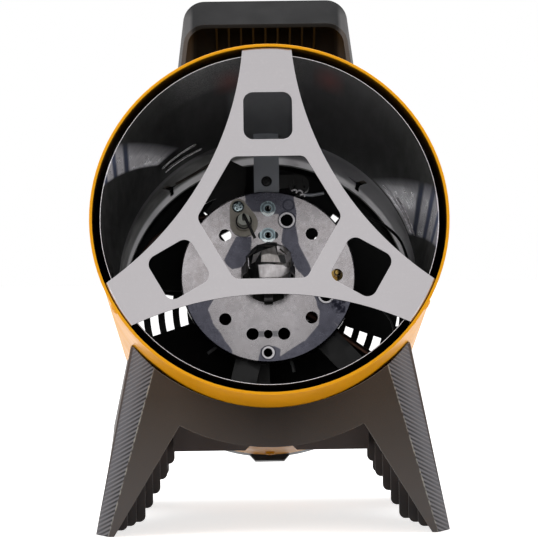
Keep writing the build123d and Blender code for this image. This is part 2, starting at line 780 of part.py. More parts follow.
# Rear cover: moulded cap with a skirt inside the shell, a round grille and a small tab
grille_face = cover_radius - cover_bevel - cover_bevel
grille_pitch = (grille_face - grille_centre) / grille_rings
with BuildPart() as rear_cover:
    with BuildSketch(lengthwise()):
        with BuildLine():
            seat_inner = lining_radius - lining_wall - running_gap
            Polyline((duct_rear, seat_inner), (duct_rear, cover_skirt - cover_wall),
                     (cover_front, cover_skirt - cover_wall), (cover_front, cover_skirt),
                     (shell_length, cover_skirt), (shell_length, cover_radius),
                     (cover_end - cover_bevel, cover_radius),
                     (cover_end, cover_radius - cover_bevel), (cover_end, grille_face - overrun),
                     (cover_end - grille_sheet, grille_face - overrun),
                     (cover_end - grille_sheet, cover_radius - cover_bevel - cover_wall),
                     (cover_end - cover_bevel - cover_wall, cover_skirt - cover_wall),
                     (duct_rear + cover_seat, cover_skirt - cover_wall),
                     (duct_rear + cover_seat, seat_inner), close=True)
        make_face()
    revolve(axis=barrel_axis)
    with BuildSketch(barrel(cover_end)):
        Circle(grille_face)
        for ring in range(grille_rings - 1, -1, -1):
            slot_inner = grille_centre + grille_pitch * ring
            Circle(slot_inner + grille_slot, mode=Mode.SUBTRACT)
            Circle(slot_inner)
        spoke_inner = grille_centre - grille_spoke
        with PolarLocations((spoke_inner + grille_face) / 2, grille_spokes, start_angle=grille_spoke_start):
            Rectangle(grille_face - spoke_inner, grille_spoke)
    extrude(amount=grille_sheet)
    with BuildSketch(barrel(cover_end - cover_bevel)):
        with BuildLine():
            tab_root = -(cover_radius - cover_wall / 2)
            tab_end = -(cover_radius + cover_tab_height)
            Polyline((-cover_tab_width / 2, tab_root), (-cover_tab_end / 2, tab_end),
                     (cover_tab_end / 2, tab_end), (cover_tab_width / 2, tab_root), close=True)
        make_face()
    extrude(amount=cover_tab_length)
    with BuildSketch(*[radial(angle, cover_screw_depth) for angle in cover_screw_angles]):
        Circle(screw_radius + thread_gap)
    extrude(amount=cover_radius + overrun, mode=Mode.SUBTRACT)
    with BuildSketch(barrel(cover_end)):
        with PolarLocations(motor_screw_circle, 4, start_angle=45):
            Circle(screw_radius + screw_clearance)
    extrude(amount=grille_sheet, mode=Mode.SUBTRACT)
rear_cover.part.label = "rear_cover"
export_step(rear_cover.part, "parts/rear_cover.step")

# Rear cover screws: through the shell into the cover's skirt
with BuildPart() as rear_cover_screws:
    for angle in cover_screw_angles:
        add(pan_screw(radial(angle, cover_screw_depth), shell_radius, shell_wall + cover_wall + screw_radius))
rear_cover_screws.part.label = "rear_cover_screws"
export_step(rear_cover_screws.part, "parts/rear_cover_screws.step")

# Fan motor: can with a front bearing boss, cooling grooves and four mounting holes
motor_rear = cover_end - grille_sheet
with BuildPart() as fan_motor:
    with BuildSketch(barrel(motor_front)):
        Circle(motor_radius)
    extrude(amount=motor_front - motor_rear)
    fillet(fan_motor.edges().group_by(barrel_axis)[0], motor_groove_width)
    with BuildSketch(barrel(motor_front)):
        Circle(motor_bearing)
    extrude(amount=motor_bearing_length)
    with BuildSketch(barrel(motor_rear - motor_groove_width * 2)):
        Circle(motor_radius + overrun)
        Circle(motor_radius - motor_groove, mode=Mode.SUBTRACT)
    extrude(amount=motor_groove_width, mode=Mode.SUBTRACT)
    with BuildSketch(barrel(motor_front + motor_groove_width * 4)):
        Circle(motor_radius + overrun)
        Circle(motor_radius - motor_groove, mode=Mode.SUBTRACT)
    extrude(amount=motor_groove_width, mode=Mode.SUBTRACT)
    with BuildSketch(barrel(motor_front - motor_bearing_length)):
        Circle(shaft_radius + shaft_fit)
    extrude(amount=-(motor_bearing_length + motor_bore), mode=Mode.SUBTRACT)
    with BuildSketch(barrel(motor_rear)):
        with PolarLocations(motor_screw_circle, 4, start_angle=45):
            Circle(screw_radius + thread_gap)
    extrude(amount=motor_screw_reach + overrun, mode=Mode.SUBTRACT)
fan_motor.part.label = "fan_motor"
export_step(fan_motor.part, "parts/fan_motor.step")

# Motor screws: four through the cover's solid centre
with BuildPart() as motor_screws:
    for angle in (45, 135, 225, 315):
        spot = barrel(cover_end).from_local_coords(
            (motor_screw_circle * cos(radians(angle)), motor_screw_circle * sin(radians(angle)), 0))
        add(pan_screw(Plane(origin=spot, x_dir=(1, 0, 0), z_dir=rearward), 0, grille_sheet + motor_screw_reach))
motor_screws.part.label = "motor_screws"
export_step(motor_screws.part, "parts/motor_screws.step")

# Motor shaft
shaft_front = fan_depth - fan_hub_length / 2 + fan_hub_wall
with BuildPart() as motor_shaft:
    with BuildSketch(barrel(shaft_front)):
        Circle(shaft_radius)
    extrude(amount=shaft_front - motor_front - motor_bore + overrun)
motor_shaft.part.label = "motor_shaft"
export_step(motor_shaft.part, "parts/motor_shaft.step")

# Fan: hub with five twisted blades, trimmed to a round tip circle
hub_front = fan_depth - fan_hub_length / 2
with BuildPart() as fan_impeller:
    for number in range(fan_blades):
        blade_angle = fan_phase + 360 * number / fan_blades
        for radius, pitch in ((fan_hub - fan_hub_wall, blade_root_pitch),
                              (fan_radius + overrun, blade_tip_pitch)):
            blade_chord = 2 * radius * sin(radians(blade_half_angle)) / cos(radians(pitch))
            with BuildSketch(radial(blade_angle, fan_depth).offset(radius)):
                Rectangle(blade_sheet, blade_chord, rotation=pitch)
        loft(ruled=True)
    with BuildSketch(barrel(hub_front - fan_hub_length / 2)):
        Circle(fan_radius)
    extrude(amount=-2 * fan_hub_length, mode=Mode.INTERSECT)
    with BuildSketch(lengthwise()):
        with BuildLine():
            Polyline((hub_front, 0), (hub_front, fan_hub - fan_hub_wall), (hub_front + fan_hub_wall, fan_hub),
                     (hub_front + fan_hub_length, fan_hub), (hub_front + fan_hub_length, 0), close=True)
        make_face()
    revolve(axis=barrel_axis)
    with BuildSketch(barrel(shaft_front)):
        Circle(shaft_radius + thread_gap)
    extrude(amount=-fan_hub_length, mode=Mode.SUBTRACT)
fan_impeller.part.label = "fan_impeller"
export_step(fan_impeller.part, "parts/fan_impeller.step")

# Handle: hood lofted from a low front rim to a higher crest, hollow below, with ribs under the grip
handle_front_foot = handle_front_half + (handle_front_top - handle_foot) * handle_slope_share
handle_rear_foot = handle_top_half + (handle_top - handle_foot) * handle_slope_share
with BuildPart() as handle:
    for inset, foot_drop, mode in ((0, 0, Mode.ADD), (handle_wall, overrun, Mode.SUBTRACT)):
        with BuildSketch(upright(handle_front)) as front_face:
            with BuildLine():
                Polyline((-handle_front_foot + inset, handle_foot - foot_drop),
                         (-handle_front_half + inset, handle_front_top - inset),
                         (handle_front_half - inset, handle_front_top - inset),
                         (handle_front_foot - inset, handle_foot - foot_drop), close=True)
            make_face()
            fillet(front_face.vertices().group_by(Axis.Y)[-1], handle_corner - inset)
        with BuildSketch(upright(handle_crest)) as crest_face:
            with BuildLine():
                Polyline((-handle_rear_foot + inset, handle_foot - foot_drop),
                         (-handle_top_half + inset, handle_top - inset),
                         (handle_top_half - inset, handle_top - inset),
                         (handle_rear_foot - inset, handle_foot - foot_drop), close=True)
            make_face()
            fillet(crest_face.vertices().group_by(Axis.Y)[-1], handle_corner - inset)
        loft(mode=mode)
        extrude(crest_face.sketch, amount=handle_crest - handle_rear + inset, mode=mode)
    with BuildSketch(upright(handle_rear + overrun)) as opening:
        with Locations((0, (handle_opening + handle_foot - overrun) / 2)):
            Rectangle(2 * handle_opening_half, handle_opening - handle_foot + overrun)
        fillet(opening.vertices().group_by(Axis.Y)[-1], handle_opening_corner)
    extrude(amount=handle_wall + 2 * overrun, mode=Mode.SUBTRACT)
    rib_top = handle_top - handle_wall / 2
    rib_rear = handle_rear - handle_wall / 2
    for number in range(handle_ribs):
        rib_across = handle_rib_pitch * (number - (handle_ribs - 1) / 2)
        with BuildSketch(side_on(rib_across)):
            with BuildLine():
                Polyline((handle_front + handle_wall, handle_front_top - handle_wall),
                         (handle_front + handle_wall, handle_front_top),
                         (handle_crest, rib_top), (rib_rear, rib_top), (rib_rear, handle_opening), close=True)
            make_face()
        extrude(amount=handle_rib / 2, both=True)
    with BuildSketch(*[radial(angle, depth) for angle in handle_screw_angles for depth in handle_screw_depths]):
        Circle(boss_radius)
    extrude(amount=shell_radius + handle_boss_length)
    with BuildSketch(barrel(0)):
        Circle(shell_radius + seat_gap)
    extrude(amount=-shell_length, mode=Mode.SUBTRACT)
    with BuildSketch(*[radial(angle, depth) for angle in handle_screw_angles for depth in handle_screw_depths]):
        Circle(screw_radius + thread_gap)
    extrude(amount=shell_radius + handle_screw_reach - running_gap, mode=Mode.SUBTRACT)
handle.part.label = "handle"
export_step(handle.part, "parts/handle.step")

# Handle screws: from inside the shell outward into the handle's bosses
with BuildPart() as handle_screws:
    for angle in handle_screw_angles:
        for depth in handle_screw_depths:
            place = radial(angle, depth)
            inward = Plane(origin=place.origin, x_dir=place.x_dir, z_dir=-place.z_dir)
            add(pan_screw(inward, -inner_head_seat, handle_screw_reach))
handle_screws.part.label = "handle_screws"
export_step(handle_screws.part, "parts/handle_screws.step")

# Base front: the moulded face with its two legs, a faceted outer edge and a hollow back
crown_radius = ((crown_outer ** 2) / (crown_height - saddle_height) + crown_height - saddle_height) / 2
facet_crown_height = saddle_height + crown_radius - sqrt(crown_radius ** 2 - crown_facet ** 2)
facet_rise = crown_height + overrun
with BuildPart() as base_front_arch:
    for foot, crown, top, mode in ((foot_outer, crown_outer, crown_height, Mode.ADD),
                                   (foot_facet, crown_facet, facet_crown_height, Mode.SUBTRACT)):
        skin = 0 if mode == Mode.ADD else base_wall
        with BuildSketch(upright(base_front + skin)) as face:
            with BuildLine():
                ThreePointArc((-crown, top), (0, saddle_height), (crown, top))
                Line((crown, top), (foot, 0))
                Line((foot, 0), (foot_inner, 0))
                Line((foot_inner, 0), (arch_half, arch_side_height))
                ThreePointArc((arch_half, arch_side_height), (0, arch_height), (-arch_half, arch_side_height))
                Line((-arch_half, arch_side_height), (-foot_inner, 0))
                Line((-foot_inner, 0), (-foot, 0))
                Line((-foot, 0), (-crown, top))
            make_face()
            if mode == Mode.SUBTRACT:
                offset(amount=-base_wall * 2 / 3, mode=Mode.REPLACE)
        extrude(amount=skin - fascia_depth, mode=mode)
    for side in (-1, 1):
        for height in (-overrun, facet_rise):
            facet_share = height / facet_crown_height
            facet_x = foot_facet + (crown_facet - foot_facet) * facet_share
            outer_x = foot_outer + (crown_outer - foot_outer) * height / crown_height
            reach = overrun / (outer_x - facet_x)
            width = outer_x - facet_x
            front_y = rim_place + base_front
            with BuildSketch(Plane.XY.offset(height)):
                with BuildLine():
                    Polyline((side * (facet_x - width * reach), front_y - fascia_depth * reach),
                             (side * (outer_x + width * reach), front_y + fascia_depth * (1 + reach)),
                             (side * (outer_x + 2 * width * reach), front_y - fascia_depth * reach), close=True)
                make_face()
        loft(ruled=True, mode=Mode.SUBTRACT)
    with BuildSketch(barrel(0)):
        Circle(shell_radius + running_gap)
    extrude(amount=-shell_length, mode=Mode.SUBTRACT)
base_front_arch.part.label = "base_front_arch"
export_step(base_front_arch.part, "parts/base_front_arch.step")

# Base side, right: leaning wall behind the front, inner ribs that step up to the middle, a rear foot
side_front = base_front + fascia_depth
front_lean = crown_outer + (foot_outer - crown_outer) * fascia_depth / (base_rear - base_front)
front_kink = foot_outer + (front_lean - foot_outer) * rear_lean_height / crown_height
peak_place = (side_front + base_rear) / 2
rib_seat = base_wall / 2
with BuildPart() as base_side_right:
    for number in range(len(rib_widths) + rear_ribs):
        row = number if number < len(rib_widths) else 2 * len(rib_widths) - 2 - number
        rib_place = rib_front + rib_pitch * number + rib_sheet
        rib_rise = rear_crown_height - rib_heights[row]
        with BuildSketch(upright(rib_place)) as rib:
            with Locations((foot_outer - rib_widths[row] / 2, rib_heights[row] + rib_rise / 2)):
                Rectangle(rib_widths[row], rib_rise)
            fillet(rib.vertices().group_by(Axis.Y)[0].sort_by(Axis.X)[0], rib_corner)
        extrude(amount=-rib_sheet)
    with BuildSketch(upright(base_rear)):
        with BuildLine():
            Polyline((foot_inner, 0), (foot_outer, 0), (foot_outer, corner_height),
                     (corner_inset, corner_height), close=True)
        make_face()
    extrude(amount=base_wall)
    with BuildSketch(*[radial(angle, depth) for angle, depth in base_boss_places]):
        Circle(boss_radius)
    extrude(amount=shell_radius + 2 * base_boss_length)
    with BuildSketch(upright(side_front)):
        with BuildLine():
            Polyline((0, 0), (foot_outer - rib_seat, 0), (front_kink - rib_seat, rear_lean_height),
                     (front_lean - rib_seat, crown_height), (0, crown_height), close=True)
        make_face()
    with BuildSketch(upright(base_rear)):
        with BuildLine():
            Polyline((0, 0), (foot_outer - rib_seat, 0), (foot_outer - rib_seat, rear_lean_height),
                     (rear_crown_outer - rib_seat, rear_crown_height), (0, rear_crown_height), close=True)
        make_face()
    loft(ruled=True, mode=Mode.INTERSECT)
    with BuildSketch(upright(side_front)):
        with BuildLine():
            Polyline((foot_outer - base_wall, 0), (foot_outer, 0), (front_kink, rear_lean_height),
                     (front_lean, crown_height), (front_lean - base_wall, crown_height),
                     (front_kink - base_wall, rear_lean_height), close=True)
        make_face()
    with BuildSketch(upright(base_rear)):
        with BuildLine():
            Polyline((foot_outer - base_wall, 0), (foot_outer, 0), (foot_outer, rear_lean_height),
                     (rear_crown_outer, rear_crown_height), (rear_crown_outer - base_wall, rear_crown_height),
                     (foot_outer - base_wall, rear_lean_height), close=True)
        make_face()
    loft(ruled=True)
    with BuildSketch(side_on(foot_outer - side_arch_cut)) as side_arch:
        with BuildLine():
            Polyline((side_front + side_foot, -overrun), (side_front + side_foot, 0),
                     (side_front + side_heel, side_heel_height),
                     (peak_place - side_peak_half, side_peak_height),
                     (peak_place + side_peak_half, side_peak_height), (base_rear - side_heel, side_heel_height),
                     (base_rear - side_foot, 0), (base_rear - side_foot, -overrun), close=True)
        make_face()
        fillet(side_arch.vertices().group_by(Axis.Y)[-1], side_peak_corner)
    extrude(amount=side_arch_cut + overrun, mode=Mode.SUBTRACT)
    with BuildSketch(barrel(0)):
        Circle(shell_radius + running_gap)
    extrude(amount=-cover_end, mode=Mode.SUBTRACT)
    with BuildSketch(*[radial(angle, depth) for angle, depth in base_boss_places]):
        Circle(screw_radius + thread_gap)
    extrude(amount=shell_radius + base_screw_reach, mode=Mode.SUBTRACT)
base_side_right.part.label = "base_side_right"
export_step(base_side_right.part, "parts/base_side_right.step")

# Base side, left: the same moulding mirrored
with BuildPart() as base_side_left:
    add(base_side_right.part.mirror(Plane.YZ))
base_side_left.part.label = "base_side_left"
export_step(base_side_left.part, "parts/base_side_left.step")

# Cross panel: open-topped tray between the ribs, cut to the shell's curve
with BuildPart() as base_cross_panel:
    with BuildSketch(upright(panel_front)):
        with Locations((0, (panel_height + arch_side_height) / 2)):
            Rectangle(2 * panel_half, arch_side_height - panel_height)
    extrude(amount=panel_front - panel_rear)
    with BuildSketch(upright(panel_front + panel_wall)):
        with Locations((0, (panel_height + panel_wall + arch_side_height) / 2)):
            Rectangle(2 * (panel_half - panel_wall), arch_side_height - panel_height)
    extrude(amount=panel_front - panel_rear + 2 * panel_wall, mode=Mode.SUBTRACT)
    with BuildSketch(upright(panel_front - overrun)):
        with BuildLine():
            Polyline((-panel_notch_foot, panel_height - overrun), (-panel_notch_foot, panel_height),
                     (-panel_notch_top, panel_height + panel_notch_height),
                     (panel_notch_top, panel_height + panel_notch_height),
                     (panel_notch_foot, panel_height), (panel_notch_foot, panel_height - overrun), close=True)
        make_face()
    extrude(amount=panel_front - panel_rear - 2 * overrun, mode=Mode.SUBTRACT)
    with BuildSketch(barrel(0)):
        Circle(shell_radius + running_gap)
    extrude(amount=-shell_length, mode=Mode.SUBTRACT)
base_cross_panel.part.label = "base_cross_panel"
export_step(base_cross_panel.part, "parts/base_cross_panel.step")

# Base screws: from inside the shell outward into the side mouldings
with BuildPart() as base_screws:
    for angle, depth in base_screw_places:
        place = radial(angle, depth)
        inward = Plane(origin=place.origin, x_dir=place.x_dir, z_dir=-place.z_dir)
        add(pan_screw(inward, -inner_head_seat, base_screw_reach))
base_screws.part.label = "base_screws"
export_step(base_screws.part, "parts/base_screws.step")

# Gas panel: rear corner plate with the inlet's and the valve stem's holes
with BuildPart() as gas_panel:
    with BuildSketch(upright(base_rear - corner_sheet)):
        with BuildLine():
            Polyline((corner_inset, corner_height), (corner_inner, corner_height),
                     (corner_inner, rear_lean_height), (corner_lean, corner_top),
                     (corner_inset, corner_top), close=True)
        make_face()
        with Locations(inlet_place):
            Circle(inlet_radius + seat_gap, mode=Mode.SUBTRACT)
        with Locations(stem_place):
            Circle(stem_radius + running_gap, mode=Mode.SUBTRACT)
    extrude(amount=corner_sheet)
    with BuildSketch(barrel(0)):
        Circle(cover_radius + running_gap)
    extrude(amount=-cover_end, mode=Mode.SUBTRACT)
gas_panel.part.label = "gas_panel"
export_step(gas_panel.part, "parts/gas_panel.step")

# Gas valve: machined block behind the gas panel with its stem through the panel
panel_inside = base_rear - 2 * corner_sheet
with BuildPart() as gas_valve:
    with BuildSketch(upright(panel_inside)) as block:
        with Locations((port_across, port_height)):
            Rectangle(valve_right - valve_left, valve_top - valve_bottom)
        fillet(block.vertices(), rib_corner)
    extrude(amount=valve_length)
    with BuildSketch(upright(panel_inside)):
        with Locations(stem_place):
            Circle(stem_radius)
    extrude(amount=-(corner_sheet + stem_length))
    with BuildSketch(upright(panel_inside)):
        with Locations(inlet_place):
            Circle(inlet_bore)
    extrude(amount=valve_length / 2, mode=Mode.SUBTRACT)
gas_valve.part.label = "gas_valve"
export_step(gas_valve.part, "parts/gas_valve.step")

# Gas inlet: hexagon and hose thread on the rear of the gas panel
with BuildPart() as gas_inlet:
    with BuildSketch(upright(base_rear - corner_sheet)):
        with Locations(inlet_place):
            RegularPolygon(radius=inlet_hex, side_count=6, major_radius=False)
    extrude(amount=-inlet_hex_length)
    with BuildSketch(upright(panel_inside)):
        with Locations(inlet_place):
            Circle(inlet_radius)
    extrude(amount=-(corner_sheet + inlet_hex_length + inlet_length))
    fillet(gas_inlet.edges().sort_by(Axis.Y)[-1], inlet_groove)
    with BuildSketch(upright(panel_inside)):
        with Locations(inlet_place):
            Circle(inlet_bore)
    extrude(amount=-(corner_sheet + inlet_hex_length + inlet_length), mode=Mode.SUBTRACT)
gas_inlet.part.label = "gas_inlet"
export_step(gas_inlet.part, "parts/gas_inlet.step")

# Valve knob: skirted knob with a grip bar, turning on the stem
knob_start = base_rear - corner_sheet + running_gap
with BuildPart() as valve_knob:
    with BuildSketch(upright(knob_start)):
        with Locations(stem_place):
            Circle(knob_radius)
    extrude(amount=-knob_skirt)
    with BuildSketch(upright(knob_start + knob_skirt)):
        with Locations(stem_place):
            Circle(knob_radius - knob_skirt / 2)
            with PolarLocations(knob_radius - knob_skirt / 2 + knob_grip / 2, 10):
                Circle(knob_grip, mode=Mode.SUBTRACT)
    extrude(amount=knob_skirt - knob_length)
    with BuildSketch(upright(knob_start)):
        with Locations(stem_place):
            Circle(stem_radius + knob_fit)
    extrude(amount=-(stem_length + running_gap), mode=Mode.SUBTRACT)
valve_knob.part.label = "valve_knob"
export_step(valve_knob.part, "parts/valve_knob.step")

# Switch panel: rear corner plate on the electric side
with BuildPart() as switch_panel:
    with BuildSketch(upright(base_rear - corner_sheet)):
        with BuildLine():
            Polyline((-corner_inset, corner_height), (-corner_inner, corner_height),
                     (-corner_inner, rear_lean_height), (-corner_lean, corner_top),
                     (-corner_inset, corner_top), close=True)
        make_face()
        with Locations(rocker_place):
            Rectangle(rocker_width + 2 * seat_gap, rocker_height + 2 * seat_gap, mode=Mode.SUBTRACT)
        with Locations(button_place):
            Circle(piezo_radius + seat_gap, mode=Mode.SUBTRACT)
        with Locations(gland_place):
            Circle(gland_neck + seat_gap, mode=Mode.SUBTRACT)
    extrude(amount=corner_sheet)
    with BuildSketch(barrel(0)):
        Circle(cover_radius + running_gap)
    extrude(amount=-cover_end, mode=Mode.SUBTRACT)
switch_panel.part.label = "switch_panel"
export_step(switch_panel.part, "parts/switch_panel.step")

# Switch housing: bezel and body that the rocker turns in
with BuildPart() as switch_housing:
    with BuildSketch(upright(base_rear - corner_sheet)):
        with Locations(rocker_place):
            RectangleRounded(rocker_width + 2 * rocker_bezel, rocker_height + 2 * rocker_bezel, rocker_bezel)
    extrude(amount=-rocker_bezel_height)
    with BuildSketch(upright(base_rear - corner_sheet)):
        with Locations(rocker_place):
            Rectangle(rocker_width, rocker_height)
    extrude(amount=rocker_body_length)
    with BuildSketch(upright(base_rear - corner_sheet + rocker_bezel_height)):
        with Locations(rocker_place):
            Rectangle(rocker_width - rocker_bezel, rocker_height - rocker_bezel)
    extrude(amount=rocker_bezel_height + rocker_height / 2 + rocker_bezel, mode=Mode.SUBTRACT)
switch_housing.part.label = "switch_housing"
export_step(switch_housing.part, "parts/switch_housing.step")

# Power rocker: a sector with two slightly angled faces on a cross pin
rocker_half = rocker_width / 2 - rocker_bezel / 2 - running_gap
rocker_reach = rocker_height / 2 - rocker_bezel
rocker_pin = base_rear - corner_sheet
with BuildPart() as power_rocker:
    with BuildSketch(side_on(rocker_place[0])):
        with Locations((rocker_pin, rocker_place[1])):
            Polygon((-rocker_depth, 0), (0, -rocker_reach), (rocker_proud, running_gap - rocker_reach),
                    (rocker_proud - rocker_bezel_height, 0), (rocker_proud, rocker_reach - running_gap),
                    (0, rocker_reach), rotation=-rocker_tilt, align=None)
    extrude(amount=rocker_half, both=True)
power_rocker.part.label = "power_rocker"
export_step(power_rocker.part, "parts/power_rocker.step")

# Igniter button: plunger in the piezo unit's collar
with BuildPart() as igniter_button:
    with BuildSketch(upright(base_rear - corner_sheet + button_collar_height + button_proud)):
        with Locations(button_place):
            Circle(button_radius)
    extrude(amount=button_proud + button_length)
    fillet(igniter_button.edges().sort_by(Axis.Y)[-1], knob_skirt / 2)
igniter_button.part.label = "igniter_button"
export_step(igniter_button.part, "parts/igniter_button.step")

# Piezo igniter unit: threaded body, collar outside the panel, bore for the button
with BuildPart() as piezo_unit:
    with BuildSketch(upright(base_rear - corner_sheet)):
        with Locations(button_place):
            Circle(button_collar + knob_skirt / 2)
    extrude(amount=-button_collar_height)
    with BuildSketch(upright(base_rear - corner_sheet)):
        with Locations(button_place):
            Circle(piezo_radius)
    extrude(amount=piezo_length)
    with BuildSketch(upright(base_rear - corner_sheet + button_collar_height)):
        with Locations(button_place):
            Circle(button_radius + shaft_fit)
    extrude(amount=button_length + button_travel + running_gap, mode=Mode.SUBTRACT)
piezo_unit.part.label = "piezo_unit"
export_step(piezo_unit.part, "parts/piezo_unit.step")

# Cable gland: domed nut with an open bore, its cord not fitted
with BuildPart() as cable_gland:
    with BuildSketch(upright(base_rear - corner_sheet)):
        with Locations(gland_place):
            RegularPolygon(radius=gland_radius, side_count=6, major_radius=False)
    extrude(amount=-gland_length / 2)
    with BuildSketch(upright(base_rear - corner_sheet)):
        with Locations(gland_place):
            Circle(gland_radius - rocker_bezel_height / 2)
    extrude(amount=-gland_length)
    fillet(cable_gland.edges().sort_by(Axis.Y)[-1], rocker_bezel_height)
    with BuildSketch(upright(base_rear - corner_sheet)):
        with Locations(gland_place):
            Circle(gland_neck)
    extrude(amount=gland_length)
    with BuildSketch(upright(base_rear - corner_sheet - gland_length)):
        with Locations(gland_place):
            Circle(gland_bore)
    extrude(amount=-2 * gland_length, mode=Mode.SUBTRACT)
cable_gland.part.label = "cable_gland"
export_step(cable_gland.part, "parts/cable_gland.step")
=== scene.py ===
import bmesh
import bpy
import json
from math import cos, pi, radians, sin, sqrt
from mathutils import Matrix, Vector


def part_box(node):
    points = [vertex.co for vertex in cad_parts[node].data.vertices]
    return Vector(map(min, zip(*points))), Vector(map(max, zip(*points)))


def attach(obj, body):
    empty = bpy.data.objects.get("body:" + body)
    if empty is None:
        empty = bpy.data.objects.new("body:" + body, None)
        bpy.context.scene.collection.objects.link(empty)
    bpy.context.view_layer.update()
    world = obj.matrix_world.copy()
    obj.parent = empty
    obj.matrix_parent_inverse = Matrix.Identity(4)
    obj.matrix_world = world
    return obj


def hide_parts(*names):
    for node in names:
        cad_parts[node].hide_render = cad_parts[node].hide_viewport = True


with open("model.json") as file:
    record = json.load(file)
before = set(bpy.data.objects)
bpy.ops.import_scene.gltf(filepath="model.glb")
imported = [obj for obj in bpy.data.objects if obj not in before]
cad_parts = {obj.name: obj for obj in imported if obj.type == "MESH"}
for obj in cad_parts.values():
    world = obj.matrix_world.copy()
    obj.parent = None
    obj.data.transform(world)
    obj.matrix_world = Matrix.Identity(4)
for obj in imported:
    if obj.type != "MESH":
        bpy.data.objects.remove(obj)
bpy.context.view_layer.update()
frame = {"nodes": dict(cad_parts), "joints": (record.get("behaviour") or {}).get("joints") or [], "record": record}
nodes = frame["nodes"]

# The barrel's frame, from the fan's joint: its axis runs rearward from the rim's centre
MM = 0.001
TILT = radians(12)
REARWARD = Vector((0, cos(TILT), -sin(TILT)))
UPWARD = Vector((0, sin(TILT), cos(TILT)))
ACROSS = Vector((1, 0, 0))
FAN_DEPTH = 318 * MM
fan_joint = next(joint for joint in frame["joints"] if joint["name"] == "fan_spin")
RIM = Vector(fan_joint["pos_m"]) - REARWARD * FAN_DEPTH
SHELL_RADIUS = 137.8 * MM
LINING_RADIUS = 130.2 * MM
PLATE_DEPTH = 224.5 * MM

# Places of small parts, in millimetres across and up in the barrel
IGNITER = (-20.3, 47.0)
SENSOR = (59.4, 0.4)
RIVET_NUTS = ((0.8, 59.7), (0.6, 36.0))
RINGED_HOLES = ((17.0, 49.3, 5.4), (49.7, -17.4, 5.4), (-0.8, -66.8, 3.9))
PRESSED_RING = (18.6, 62.8)


def at(across, up, depth):
    """Point of the row frame, from the place across and up in the barrel and the depth behind the rim."""
    return RIM + ACROSS * across + UPWARD * up + REARWARD * depth


def around(radius, angle, depth):
    """Point at a radius and an angle round the barrel's axis, in degrees from +X toward the top."""
    return at(radius * cos(radians(angle)), radius * sin(radians(angle)), depth)


# Materials


